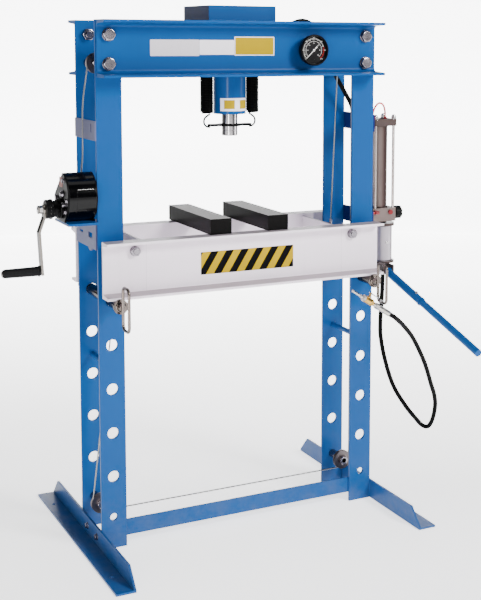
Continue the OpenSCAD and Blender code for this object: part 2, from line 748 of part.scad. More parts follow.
ll_a = on_rope(top_l, n_ll, 1, sheave_r);
ll_b = on_rope(rod_l, n_ll, -1, loop_rod_r);
lr_a = on_rope(top_r, n_lr, -1, sheave_r);
lr_b = on_rope(rod_r, n_lr, 1, loop_rod_r);
tl_a = on_rope(low_l, n_tl, -1, sheave_r);
tl_b = on_rope(rod_l, n_tl, 1, loop_rod_r);
function toward(a, b, g) = b + g*(a - b)/norm(a - b);
module rope_lifts() {
  color(steel) {
    rope_line(ll_a, toward(ll_a, ll_b, clamp_l + run_gap), rope_y1);
    rope_line(lr_a, toward(lr_a, lr_b, clamp_l + run_gap), rope_y2);
  }
}
module rope_tie() { color(steel) rope_line(tl_a, toward(tl_a, tl_b, clamp_l + run_gap), rope_y2); }
module rope_end(c, a, b, y) {
  v = (a - b)/norm(a - b);
  translate([c[0], y, c[1]]) rotate([90, 0, 0]) rotate_extrude()
    translate([loop_rod_r, 0]) circle(d = rope_d, $fn = 16);
  translate([b[0] + 6*v[0], y, b[1] + 6*v[1]]) rotate([0, atan2(v[0], v[1]), 0])
    cylinder(d = 11, h = clamp_l - 6);
}
module rope_ends() {
  color(zinc) {
    rope_end(rod_l, ll_a, ll_b, rope_y1);
    rope_end(rod_r, lr_a, lr_b, rope_y2);
    rope_end(rod_l, tl_a, tl_b, rope_y2);
  }
}

// bed
module bed_channel(sy) {
  color(pale) difference() {
    flip_y(sy > 0) channel_x(-bed_half, bed_half, -bed_y + bed_t, bed_z,
      bed_t, bed_flange, bed_h, bed_tip, bed_root, bed_r);
    for (s = [-1, 1]) flip_y(sy > 0) rod_y(-bed_y - 20, -bed_y + bed_t + 20, s*bed_rod_x, bed_rod_z,
      bed_rod_d + 2*bolt_gap);
  }
}
module bed_front() { bed_channel(-1); }
module bed_rear() { bed_channel(1); }
module bed_plates() {
  y = bed_y - bed_t;
  color(pale) for (s = [-1, 1]) translate([s*bed_plate_x - bed_plate_t/2, -y, bed_z + 4])
    cube([bed_plate_t, 2*y, bed_h - 14]);
}
module bed_rods() {
  color(steel) for (s = [-1, 1]) {
    rod_y(-bed_y - 22, bed_y + 22, s*bed_rod_x, bed_rod_z, bed_rod_d);
    for (m = [0, 1]) mirror([0, m, 0]) {
      rod_y(-bed_y - 3, -bed_y, s*bed_rod_x, bed_rod_z, bed_rod_d + 14);
      hex_y(-bed_y - 18, -bed_y - 3, s*bed_rod_x, bed_rod_z, 30);
    }
  }
}
module hazard_panel() {
  color([0.95, 0.8, 0.1]) translate([-panel_x, -bed_y - panel_t, bed_z + panel_lo])
    cube([2*panel_x, panel_t, panel_h]);
}
module press_bars() {
  color(dark) for (s = [-1, 1]) translate([s*bar_x - bar_w/2, bar_front, bed_top])
    cube([bar_w, bar_rear - bar_front, bar_h]);
}

// bed pins
module loop_yz() {
  w = loop_half_w;
  h = loop_half_h;
  r = loop_r;
  rotate([90, 0, 90]) {
    for (i = [0:3]) let (sx = (i == 0 || i == 3) ? 1 : -1, sy = i < 2 ? 1 : -1)
      translate([sx*(w - r), sy*(h - r)]) rotate(90*i) rotate_extrude(angle = 90)
        translate([r, 0]) circle(d = loop_wire, $fn = 24);
    for (s = [-1, 1]) {
      translate([s*w, 0]) rotate([90, 0, 0]) cylinder(d = loop_wire, h = 2*(h - r), center = true, $fn = 24);
      translate([0, s*h]) rotate([0, 90, 0]) cylinder(d = loop_wire, h = 2*(w - r), center = true, $fn = 24);
    }
  }
}
module bed_pin(s) {
  color(steel) {
    translate([s*hole_x, pin_rear, pin_z]) rotate([90, 0, 0]) cylinder(d1 = pin_d - 8, d2 = pin_d, h = 5);
    rod_y(-collar_y, pin_rear - 5, s*hole_x, pin_z, pin_d);
    rod_y(-collar_y - pin_collar_t, -collar_y, s*hole_x, pin_z, pin_collar_d);
    translate([s*hole_x, -collar_y - pin_collar_t, pin_z]) rotate([90, 0, 0])
      cylinder(d1 = 32, d2 = 22, h = loop_y - loop_half_w - loop_wire/2 - collar_y - pin_collar_t + 2);
    translate([s*hole_x, -loop_y, pin_z]) loop_yz();
  }
}
module pin_left() { bed_pin(-1); }
module pin_right() { bed_pin(1); }

// pump
module pump_cap() {
  color(zinc) difference() {
    translate([pump_x, 0, cap_z - cap_t]) linear_extrude(cap_t) rrect(cap_w, cap_w, 5);
    rod_z(cap_z - cap_t - 1, cap_z - cap_t + 6, pump_x, 0, barrel_d);
    for (x = [-1, 1], y = [-1, 1]) rod_z(cap_z - cap_t - 1, cap_z + 1, pump_x + x*stay, y*stay, stay_d);
  }
}
module pump_barrel() {
  color(zinc) difference() {
    rod_z(valve_z, cap_z - cap_t + 6, pump_x, 0, barrel_d);
    rod_z(valve_z + 10, cap_z - cap_t - 8, pump_x, 0, barrel_d - 12);
  }
}
module tie_rods() {
  color(zinc) for (x = [-1, 1], y = [-1, 1]) translate([pump_x + x*stay, y*stay, 0]) {
    rod_z(valve_z, cap_z + (y < 0 ? 4 : 2), 0, 0, stay_d);
    if (y < 0) {
      translate([0, 0, cap_z]) cylinder(d = 19, h = 9, $fn = 6);
      translate([0, 0, cap_z + 9]) sphere(d = 15);
    }
  }
}
module valve_block() {
  color(zinc) {
    translate([pump_x - valve_w/2, -45, valve_z - valve_h]) cube([valve_w, 90, valve_h]);
    rod_z(tank_z + 155, valve_z - valve_h, pump_x + tank_dx, 0, 34);
    rod_x(pump_x + valve_w/2, pump_x + valve_w/2 + 3, 0, valve_z - 25, 22);
  }
}
module port_fittings() {
  color([0.6, 0.1, 0.1]) {
    hex_y(-51, -45, pump_x + 26, valve_z - 16, 17);
    rod_y(-50, -45, pump_x - 40, valve_z - 14, 16);
    rod_y(-59, -50, pump_x - 40, valve_z - 14, 13);
    rod_x(pump_x - 50, pump_x - 33, -59, valve_z - 14, 13);
    rod_z(cap_z, cap_z + 8, pump_x + 19, -10, 14);
    rod_y(45, 86, pump_x - 21, valve_z - 25, 20);
    rod_z(valve_z - 25, valve_z + 12, pump_x - 21, 76, 20);
    rod_x(block_x, block_x + 34, 45, port_z, 20);
  }
}
module pump_tank() {
  color(zinc) translate([pump_x + tank_dx, 0, 0]) difference() {
    union() {
      rod_z(tank_z + 9, tank_z + 144, 0, 0, tank_d);
      rod_z(tank_z, tank_z + 9, 0, 0, tank_d + 16);
      rod_z(tank_z + 144, tank_z + 155, 0, 0, tank_d + 16);
    }
    translate([-tank_dx, -22, tank_z - 1]) cylinder(d = 14 + 2*fit_gap, h = 60);
  }
}
module pump_gland() {
  color(zinc) union() {
    for (x = [pump_x - 23, pump_x + 16]) {
      translate([x, -lever_y - 13, lever_z]) cube([7, lever_y + 23, tank_z - lever_z]);
      rod_x(x, x + 7, -lever_y, lever_z, 26);
    }
    translate([pump_x - 23, -2, lever_z]) cube([46, 12, tank_z - lever_z]);
    rod_x(pump_x - 26, pump_x + 26, -lever_y, lever_z, 12);
  }
}
module pump_plunger() {
  color(steel) {
    rod_z(tail_top + tail_gap, tank_z + 52, pump_x, -22, 14);
  }
}
tail_l = 50;
tail_top = lever_z + tail_l*sin(lever_fall) + 7;
module pump_lever() {
  color(blue) translate([pump_x, -lever_y, lever_z]) rotate([lever_fall, 0, 0]) difference() {
    union() {
      rod_x(run_gap - 16, 16 - run_gap, 0, 0, 24);
      translate([-12, -26, -9]) cube([24, 26, 18]);
      rod_y(-socket_l, -20, 0, 0, 30);
      rod_y(-lever_l, -socket_l, 0, 0, 26);
      translate([-6, 0, -6]) cube([12, tail_l, 12]);
      rod_x(-6, 6, tail_l, 0, 14);
    }
    rod_x(-20, 20, 0, 0, 12 + 2*fit_gap);
  }
}
module release_knob() {
  x = pump_x + valve_w/2 + 3 + run_gap;
  color(dark) {
    rod_x(x, x + knob_out, 0, valve_z - 25, 24);
    difference() {
      rod_x(x + knob_out, x + knob_out + 26, 0, valve_z - 25, knob_d);
      for (a = [0:45:315]) translate([0, 0, valve_z - 25]) rotate([a, 0, 0])
        rod_x(x + knob_out - 2, x + knob_out + 28, knob_d/2 + 2.5, 0, 10);
    }
  }
}

// hoses
function mid_x(x) = block_x + 34 + (x - 160)/280*(half_w - block_x - 121);
function mid_z(z) = strap_hi + 39 + (z - 1502)/298*(frame_h - strap_hi - 39);
hyd_pts = concat([for (q = [[-21, 76, 12.3], [-21, 76, 22], [-21, 76, 32], [-24, 77, 65], [-31, 78, 130]])
    [pump_x + q[0], q[1], valve_z + q[2]]],
  [for (q = [[50, 78, -153], [34, 77, -73], [22, 73, -27], [14, 65.5, 1], [7, 58, 17], [-6, 51, 39]])
    [half_w + q[0], q[1], strap_hi + q[2]]],
  [for (q = [[500, 47, 1532], [478, 45, 1566], [455, 45, 1602], [428, 47, 1655], [402, 48, 1710],
    [384, 48, 1752], [368, 48, 1780], [345, 49, 1799], [315, 50, 1807], [284, 50, 1800],
    [256, 49, 1786], [228, 47, 1775]])
    [q[0] > 440 ? half_w + q[0] - 527 : mid_x(q[0]), q[1], mid_z(q[2])]],
  [for (x = [35, 18, 0.3]) [block_x + 34 + x, 45, port_z]]);
module hydraulic_hose() { color(dark) swept(hyd_pts, hyd_d, 2, 10, [0, 1, 0]); }
tube_pts = concat([for (q = [[19, -10, 8.3], [19, -10, 15], [19, -10, 22], [13, -14, 42], [-2, -22, 57],
    [-23, -30, 59], [-43, -38, 43], [-58, -46, 12], [-67, -53, -30], [-71, -58, -90], [-72, -59, -160]])
    [pump_x + q[0], q[1], cap_z + q[2]]],
  [for (q = [[-72, 100], [-72, 28], [-71, 8], [-66, -8], [-58, -14], [-54, -14], [-50.3, -14]])
    [pump_x + q[0], -59, valve_z + q[1]]]);
module air_tube() { color([0.8, 0.1, 0.1]) swept(tube_pts, tube_d, 2, 8, [0, 1, 0]); }
hose_pts = [[661, 30, 845], [661, 30, 800], [657, 29, 720], [652, 28, 646], [652, 24, 580],
  [666, 12, 487], [694, -5, 387], [736, -28, 307], [772, -49, 255], [793, -67, 228],
  [808, -88, 229], [817, -105, 265], [817, -120, 321], [801, -136, 370],
  [777, -152, 414], [724, -181, 520], [654, -212, 625], [592, -241, 688]];
bar_z = pin_z - loop_half_h;
vx = hole_x - 60*cos(valve_fall) - 21*sin(valve_fall);
vz = bar_z + 60*sin(valve_fall) - 21*cos(valve_fall);
function valve_pt(a) = [vx + a*cos(valve_fall), -loop_y, vz - a*sin(valve_fall)];
module air_hose() {
  color(dark) swept(concat(hose_pts, [valve_pt(140), valve_pt(124), valve_pt(108.3)]),
    hose_d, 2, 10, [0, 1, 0]);
}
module air_fitting() {
  color(pale) {
    rod_z(tank_z - 40, tank_z, pump_x + 40, 30, 14);
    translate([pump_x + 40, 30, tank_z - 23]) cylinder(d = 20/cos(30), h = 14, $fn = 6);
  }
}
module at_valve() { translate([vx, -loop_y, vz]) rotate([0, valve_fall, 0]) children(); }
module air_valve() {
  color([0.8, 0.65, 0.3]) at_valve() {
    hex_x(-22, -12, 0, 0, 22);
    rod_x(-12, 14, 0, 0, 24);
    hex_x(14, 24, 0, 0, 22);
    rod_x(24, 40, 0, 0, 15);
    hex_x(40, 56, 0, 0, 19);
    rod_x(56, 108, 0, 0, 20);
    rod_x(-34, -22, 0, 0, 13);
    rod_x(-74, -34, 0, 0, 9);
    rod_z(8, 31, 0, 0, 7);
    rod_z(8, 14, 0, 0, 15);
  }
}
grip_r = 55.2;
module valve_handle() {
  z0 = 21 + loop_wire/2 + run_gap;
  color(steel) at_valve() difference() {
    union() {
      rod_z(z0, z0 + 3, 0, 0, 18);
      translate([0, -6, z0]) cube([grip_r - 6, 12, 3]);
      intersection() {
        translate([grip_r - 14, -6, z0]) cube([16, 12, 3]);
        rod_z(z0 - 1, z0 + 4, 0, 0, 2*grip_r);
      }
      translate([51.4, -6, 21]) cube([3.2, 12, z0 - 21]);
    }
    rod_z(z0 - 1, z0 + 4, 0, 0, 7 + 2*fit_gap);
  }
}

post_front_left();
post_front_right();
post_rear_left();
post_rear_right();
cross_rods();
foot_left();
foot_right();
bottom_rail();
beam_front();
beam_rear();
frame_bolts();
small_bolts();
top_block();
cylinder_tube();
ram();
spring_bracket();
return_springs();
gauge_case();
gauge_needle();
gauge_lens();
left_plates();
pump_straps();
winch_shelf();
winch_cover();
winch_plates();
winch_drum();
winch_crank();
crank_grip();
pulley_top_left();
pulley_top_right();
pulley_low_left();
pulley_low_right();
ropes_fixed();
rope_lifts();
rope_tie();
rope_ends();
bed_front();
bed_rear();
bed_plates();
bed_rods();
hazard_panel();
press_bars();
pin_left();
pin_right();
pump_cap();
pump_barrel();
tie_rods();
valve_block();
port_fittings();
pump_tank();
pump_gland();
pump_plunger();
pump_lever();
release_knob();
hydraulic_hose();
air_tube();
air_hose();
air_fitting();
air_valve();
valve_handle();
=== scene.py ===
"""Workshop press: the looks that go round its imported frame, laid out as an add-on.

Every length is in metres, +X runs along the bed, +Y to the rear and +Z up.
"""

import math

import bpy
import numpy as np
from bpy.props import FloatProperty, FloatVectorProperty, IntProperty, PointerProperty
from mathutils import Matrix, Vector


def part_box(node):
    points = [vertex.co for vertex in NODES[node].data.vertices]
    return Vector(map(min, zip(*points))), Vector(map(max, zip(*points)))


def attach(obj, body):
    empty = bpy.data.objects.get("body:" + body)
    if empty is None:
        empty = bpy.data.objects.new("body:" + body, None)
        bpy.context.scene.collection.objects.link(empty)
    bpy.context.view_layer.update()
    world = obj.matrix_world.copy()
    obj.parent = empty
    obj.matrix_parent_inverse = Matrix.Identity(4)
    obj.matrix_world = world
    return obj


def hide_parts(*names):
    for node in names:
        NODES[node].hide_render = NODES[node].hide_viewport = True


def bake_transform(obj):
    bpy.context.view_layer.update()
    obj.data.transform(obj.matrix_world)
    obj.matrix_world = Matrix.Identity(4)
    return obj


bl_info = {
    "name": "Workshop Press",
    "version": (1, 0, 0),
    "blender": (4, 5, 0),
    "location": "View3D > Sidebar > Press",
    "description": "Finishes, coils, ropes, hoses, gauge, welds and studio for a winch-bed workshop press",
    "category": "Object",
}

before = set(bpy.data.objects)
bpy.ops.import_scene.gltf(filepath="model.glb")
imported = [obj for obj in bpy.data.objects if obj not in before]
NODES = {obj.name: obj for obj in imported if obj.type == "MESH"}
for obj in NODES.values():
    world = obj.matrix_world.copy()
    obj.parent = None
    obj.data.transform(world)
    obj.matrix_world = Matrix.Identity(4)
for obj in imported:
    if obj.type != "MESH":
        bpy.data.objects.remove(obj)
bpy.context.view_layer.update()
X, Y, Z = np.eye(3)

HEX_SIDES = 48
FLAT_SHARE = 0.96
CORNER_STEPS = 5
SMALLEST_CORNER = 0.00002
SHARP_EDGE = math.radians(38)


def box(node):
    """Lowest and highest corner of a frame node as two arrays."""
    low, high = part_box(node)
    return np.array(low), np.array(high)


# ---------------------------------------------------------------- surfaces


def smooth_path(points, steps):
    """Catmull-Rom curve: each span is the cubic through two points whose slopes are half the chords beside it."""
    p = np.array(points, float)
    q = np.vstack([2 * p[0] - p[1], p, 2 * p[-1] - p[-2]])
    t = np.linspace(0, 1, steps, endpoint=False)[None, :, None]
    a, b, c, d = q[:-3, None], q[1:-2, None], q[2:-1, None], q[3:, None]
    span = 0.5 * (2 * b + (c - a) * t + (2 * a - 5 * b + 4 * c - d) * t**2 + (3 * b - a - 3 * c + d) * t**3)
    return np.vstack([span.reshape(-1, 3), p[-1:]])


def travelled(path):
    """Distance along a path at each of its points: the running sum of its chord lengths."""
    return np.concatenate([[0], np.cumsum(np.linalg.norm(np.diff(path, axis=0), axis=1))])


def unit(v):
    """Vectors divided by their own length."""
    v = np.asarray(v, float)
    return v / np.maximum(np.linalg.norm(v, axis=-1, keepdims=True), 1e-12)


def sweep(path, radius, sides=12, up=Y):
    """Tube: point(i, a) = path(i) + r(i, a) * (cos a * u + sin a * w), with u the part of up across the path."""
    path = np.asarray(path, float)
    t = unit(np.gradient(path, axis=0))
    u = unit(up - (t @ up)[:, None] * t)
    w = np.cross(t, u)
    a = np.linspace(0, 2 * math.pi, sides, endpoint=False)
    r = np.broadcast_to(np.asarray(radius, float), (len(path), sides)) if np.ndim(radius) != 1 else np.tile(
        np.asarray(radius, float)[:, None], (1, sides))
    ring = np.cos(a)[None, :, None] * u[:, None] + np.sin(a)[None, :, None] * w[:, None]
    return path[:, None] + r[..., None] * ring


def lathe(centre, axis, profile, sides=32, wave=None):
    """Turned form: point(i, a) = c + h(i) * axis + r(i) * (cos a * u + sin a * v); wave(a) scales r round the turn."""
    axis = unit(axis)
    u = unit(np.cross(axis, X if abs(axis[0]) < 0.9 else Y))
    v = np.cross(axis, u)
    a = np.linspace(0, 2 * math.pi, sides, endpoint=False)
    h, r = np.array(profile, float).T
    r = r[:, None] * (np.ones(sides) if wave is None else wave(a))[None]
    ring = np.cos(a)[:, None] * u + np.sin(a)[:, None] * v
    return np.asarray(centre, float) + h[:, None, None] * axis + r[..., None] * ring[None]


def hexagon(centre, axis, across, low, high):
    """Hexagon head with its corners turned off: r(a) = (across / 2) / cos(a folded to 30 deg either side), and
    the rim drops below the top by (r - flat) * tan 30 deg, where flat = FLAT_SHARE * across / 2."""
    axis = unit(axis)
    u = unit(np.cross(axis, X if abs(axis[0]) < 0.9 else Z))
    v = np.cross(axis, u)
    a = np.linspace(0, 2 * math.pi, HEX_SIDES, endpoint=False)
    r = across / 2 / np.cos((a + math.pi / 6) % (math.pi / 3) - math.pi / 6)
    flat = np.full(HEX_SIDES, across / 2 * FLAT_SHARE)
    drop = (r - flat) * math.tan(math.radians(30))
    rows = [(r * 0.0 + across * 0.3, low + 0 * a), (r, low + 0 * a), (r, high - drop), (flat, high + 0 * a),
            (flat * 0.9, high + 0 * a)]
    ring = np.cos(a)[:, None] * u + np.sin(a)[:, None] * v
    return np.stack([np.asarray(centre, float) + h[:, None] * axis + q[:, None] * ring for q, h in rows])


def tablet(low, high, thin, corner, soft):
    """Thin plate with round corners and softened edges. thin is the axis of its thickness; the outline is a
    rounded rectangle, carried from one face to the other and drawn in by soft at each."""
    low, high = np.array(low, float), np.array(high, float)
    wide = [k for k in range(3) if k != thin]
    half = (high[wide] - low[wide]) / 2
    mid = (high[wide] + low[wide]) / 2
    turn = np.linspace(0, math.pi / 2, CORNER_STEPS)
    arc = np.concatenate([turn + k * math.pi / 2 for k in range(4)])
    sx = np.repeat([1, -1, -1, 1], CORNER_STEPS)
    sy = np.repeat([1, 1, -1, -1], CORNER_STEPS)

    def ring(inset, depth):
        r = max(corner - inset, SMALLEST_CORNER)
        out = np.zeros((len(arc), 3))
        out[:, wide[0]] = mid[0] + sx * (half[0] - inset - r) + r * np.cos(arc)
        out[:, wide[1]] = mid[1] + sy * (half[1] - inset - r) + r * np.sin(arc)
        out[:, thin] = depth
        return out

    a, b = low[thin], high[thin]
    s = min(soft, (b - a) / 2)
    return np.stack([ring(s, a), ring(0, a + s), ring(0, b - s), ring(s, b)])


class Skin:
    """Gathers surfaces on grids and makes one mesh piece of them."""

    def __init__(self, name):
        self.name, self.count = name, 0
        self.points, self.corners, self.sizes, self.uvs, self.marks = [], [], [], [], []

    def _faces(self, corners, uv, mark):
        self.corners.append(corners.ravel())
        self.uvs.append(uv.reshape(-1, 2))
        self.sizes.append(np.full(len(corners), corners.shape[1]))
        self.marks.append(np.full(len(corners), mark))

    def add(self, grid, around=True, ends=True, mark=0, toward=None):
        """Faces over grid[i, j]. around closes j, ends puts a fan on the first and last row. A closed form is
        turned outwards by the sign of its volume, an open one by the way it faces."""
        grid = np.asarray(grid, float)
        m, n = grid.shape[:2]
        cols = n if around else n - 1
        points = grid.reshape(-1, 3)
        i, j = [k.ravel() for k in np.meshgrid(np.arange(m - 1), np.arange(cols), indexing="ij")]
        k = (j + 1) % n
        quads = np.stack([i * n + j, i * n + k, (i + 1) * n + k, (i + 1) * n + j], -1)
        run = travelled(grid.mean(1))
        if run[-1] < 1e-9:
            run = np.arange(m) * 0.01
        u = np.stack([j, j + 1, j + 1, j], -1) / cols
        v = np.stack([run[i], run[i], run[i + 1], run[i + 1]], -1)
        faces = [(quads, np.stack([u, v], -1))]
        if around and ends:
            points = np.vstack([points, grid[0].mean(0), grid[-1].mean(0)])
            a = np.arange(n)
            b = (a + 1) % n
            first = np.stack([b, a, np.full(n, m * n)], -1)
            last = np.stack([(m - 1) * n + a, (m - 1) * n + b, np.full(n, m * n + 1)], -1)
            for tri, at in ((first, run[0]), (last, run[-1])):
                flat = np.stack([np.stack([a / n, (a + 1) / n, (a + 0.5) / n], -1), np.full((n, 3), at)], -1)
                faces.append((tri, flat))
        if around and ends:
            volume = sum(
                np.einsum("ij,ij->i", points[f[:, 0]], np.cross(points[f[:, a]], points[f[:, a + 1]])).sum()
                for f, _ in faces for a in range(1, f.shape[1] - 1))
            turn = volume < 0
        elif toward is not None:
            p = points[quads]
            turn = (np.cross(p[:, 2] - p[:, 0], p[:, 3] - p[:, 1]) @ np.asarray(toward, float)).sum() < 0
        else:
            turn = False
        for corners, uv in faces:
            if turn:
                corners, uv = corners[:, ::-1], uv[:, ::-1]
            self._faces(corners + self.count, np.ascontiguousarray(uv), mark)
        self.points.append(points)
        self.count += len(points)
        return self

    def turn(self, at, axis, bore, rim, sides, mark=0, wave=None):
        """Adds a turned form: rim is its outline as (height, radius), closed at both ends down to the bore."""
        return self.add(lathe(at, axis, [(rim[0][0], bore), *rim, (rim[-1][0], bore)], sides, wave), mark=mark)

    def make(self, finishes, body=None, slot=None, replaces=()):
        """The piece itself: a mesh at the origin that rides on a body."""
        mesh = bpy.data.meshes.new(self.name)
        co, corners = np.concatenate(self.points), np.concatenate(self.corners)
        sizes = np.concatenate(self.sizes)
        mesh.vertices.add(len(co))
        mesh.vertices.foreach_set("co", co.astype(np.float32).ravel())
        mesh.loops.add(len(corners))
        mesh.loops.foreach_set("vertex_index", corners.astype(np.int32))
        mesh.polygons.add(len(sizes))
        mesh.polygons.foreach_set("loop_start", np.concatenate([[0], np.cumsum(sizes)[:-1]]).astype(np.int32))
        mesh.polygons.foreach_set("material_index", np.concatenate(self.marks).astype(np.int32))
        mesh.polygons.foreach_set("use_smooth", np.ones(len(sizes), bool))
        layer = mesh.uv_layers.new(name="UVMap")
        layer.data.foreach_set("uv", np.concatenate(self.uvs).astype(np.float32).ravel())
        mesh.update(calc_edges=True)
        mesh.validate()
        mesh.set_sharp_from_angle(angle=SHARP_EDGE)
        for finish in finishes:
            mesh.materials.append(finish)
        piece = bpy.data.objects.new(self.name, mesh)
        bpy.context.scene.collection.objects.link(piece)
        if replaces:
            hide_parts(*replaces)
        if body:
            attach(piece, body)
        return piece


# ---------------------------------------------------------------- finishes


def srgb(r, g, b):
    """A colour given in 0 to 255 as linear light: ((c + 0.055) / 1.055) ** 2.4 above 0.04045."""
    c = np.array([r, g, b]) / 255
    return tuple(float(v) for v in np.where(c > 0.04045, ((c + 0.055) / 1.055) ** 2.4, c / 12.92))


def feed(tree, port, value):
    """Links a socket to a port, or sets the port's own value."""
    if isinstance(value, Wire):
        tree.links.new(value.end, port)
    elif hasattr(port, "default_value"):
        if hasattr(value, "__len__") and len(value) == 3 and len(port.default_value) == 4:
            value = (*value, 1.0)
        port.default_value = value


class Wire:
    """A shader socket. Python's operators on it add Math nodes."""

    def __init__(self, tree, end):
        self.tree, self.end = tree, end

    def math(self, kind, *values, clamp=False):
        node = self.tree.nodes.new("ShaderNodeMath")
        node.operation, node.use_clamp = kind, clamp
        for port, value in zip(node.inputs, values):
            feed(self.tree, port, value)
        return Wire(self.tree, node.outputs[0])

    def __add__(self, o):
        return self.math("ADD", self, o)

    def __sub__(self, o):
        return self.math("SUBTRACT", self, o)

    def __rsub__(self, o):
        return self.math("SUBTRACT", o, self)

    def __mul__(self, o):
        return self.math("MULTIPLY", self, o)

    def __truediv__(self, o):
        return self.math("DIVIDE", self, o)

    def __pow__(self, o):
        return self.math("POWER", self, o)

    def __abs__(self):
        return self.math("ABSOLUTE", self)

    __radd__, __rmul__ = __add__, __mul__

    def kept(self):
        return self.math("ADD", self, 0.0, clamp=True)

    def over(self, edge, width):
        """0 below edge, 1 above edge + width, straight between."""
        return ((self - edge) / width).kept()

    def wave(self):
        """0.5 + 0.5 sin(2 pi x)."""
        return self.math("SINE", self * (2 * math.pi)) * 0.5 + 0.5

    def wrap(self, period):
        return self.math("WRAP", self, period, 0.0)


class Finish:
    """One material: a Principled shader, and a method that adds any node to its tree."""

    def __init__(self, name, **fixed):
        self.material = bpy.data.materials.new(name)
        self.material.use_nodes = True
        self.tree = self.material.node_tree
        self.tree.nodes.clear()
        self.shader = self.tree.nodes.new("ShaderNodeBsdfPrincipled")
        out = self.tree.nodes.new("ShaderNodeOutputMaterial")
        self.tree.links.new(self.shader.outputs[0], out.inputs[0])
        self.set(**{"Specular_IOR_Level": 0.22, **fixed})

    def set(self, **ports):
        """Feeds the shader's ports, named with underscores for spaces."""
        for name, value in ports.items():
            feed(self.tree, self.shader.inputs[name.replace("_", " ")], value)
        return self

    def node(self, kind, settings=None, inputs=None, out=0):
        """Any node: its settings first, a ramp's stops among them, then its inputs by name or number."""
        node = self.tree.nodes.new("ShaderNode" + kind)
        for name, value in (settings or {}).items():
            if name == "stops":
                while len(node.color_ramp.elements) < len(value):
                    node.color_ramp.elements.new(0.5)
                for element, (at, colour) in zip(node.color_ramp.elements, value):
                    element.position, element.color = at, (*colour, 1.0)
            else:
                setattr(node, name, value)
        for name, value in (inputs or {}).items():
            feed(self.tree, node.inputs[name], value)
        return Wire(self.tree, node.outputs[out])

    def place(self):
        """The point on the piece, in metres."""
        return self.node("TexCoord", out=3)

    def axes(self, where=None):
        """The three numbers of a point."""
        cut = self.node("SeparateXYZ", None, {0: where or self.place()})
        return [Wire(self.tree, cut.end.node.outputs[k]) for k in range(3)]

    def uv(self):
        """Round the turn from 0 to 1, and metres along."""
        return self.axes(self.node("UVMap", {"uv_map": "UVMap"}))[:2]

    def stretch(self, factors, where=None):
        return self.node("VectorMath", {"operation": "MULTIPLY"}, {0: where or self.place(), 1: factors})

    def noise(self, scale, detail=2.0, rough=0.5, where=None):
        return self.node("TexNoise", None, {"Vector": where or self.place(), "Scale": scale, "Detail": detail,
                                            "Roughness": rough})

    def blend(self, share, a, b):
        """Colour a where share is 0, b where it is 1."""
        return self.node("Mix", {"data_type": "RGBA"}, {0: share, 6: a, 7: b}, out=2)

    def edges(self, width):
        """How near an outer or inner edge is, 0 to 1, and the normal with its edges rounded over width."""
        soft = self.node("Bevel", {"samples": 4}, {"Radius": width})
        flat = self.node("NewGeometry", out=3)
        lean = self.node("VectorMath", {"operation": "DOT_PRODUCT"}, {0: soft, 1: flat}, out=1)
        return ((1.0 - lean) * 3.4).kept(), soft

    def toward(self, way):
        """Cosine between the face's own direction and a fixed one, both in the world's axes."""
        nx, ny, nz = self.axes(self.node("NewGeometry", out=1))
        return nx * way[0] + ny * way[1] + nz * way[2]

    def gleam(self, tone, dark):
        """Painted shade: tone where a face lies along FACING, either way, and dark where it lies across it."""
        return self.blend(abs(self.toward(FACING)).over(0.30, 0.45), dark, tone)

    def bump(self, height, deep, normal=None):
        inputs = {"Height": height, "Distance": deep, "Strength": 1.0}
        if normal is not None:
            inputs["Normal"] = normal
        return self.node("Bump", None, inputs)


# Fixed directions of the painted shade, in the world's axes. FACING is 6.7 degrees off the way from the press to the
# rest camera and ACROSS 4.8 degrees off the picture's right, so the finishes that read them are shaded by where the
# camera stands, which is a fault. That breaks the rule on materials, and report.md says so.
FACING = (-0.39, -0.90, 0.19)
ACROSS = (0.917, -0.398, 0.0)

ROPE_LAY = 0.030


def tint(colour, k):
    return tuple(min(1.0, c * k) for c in colour)


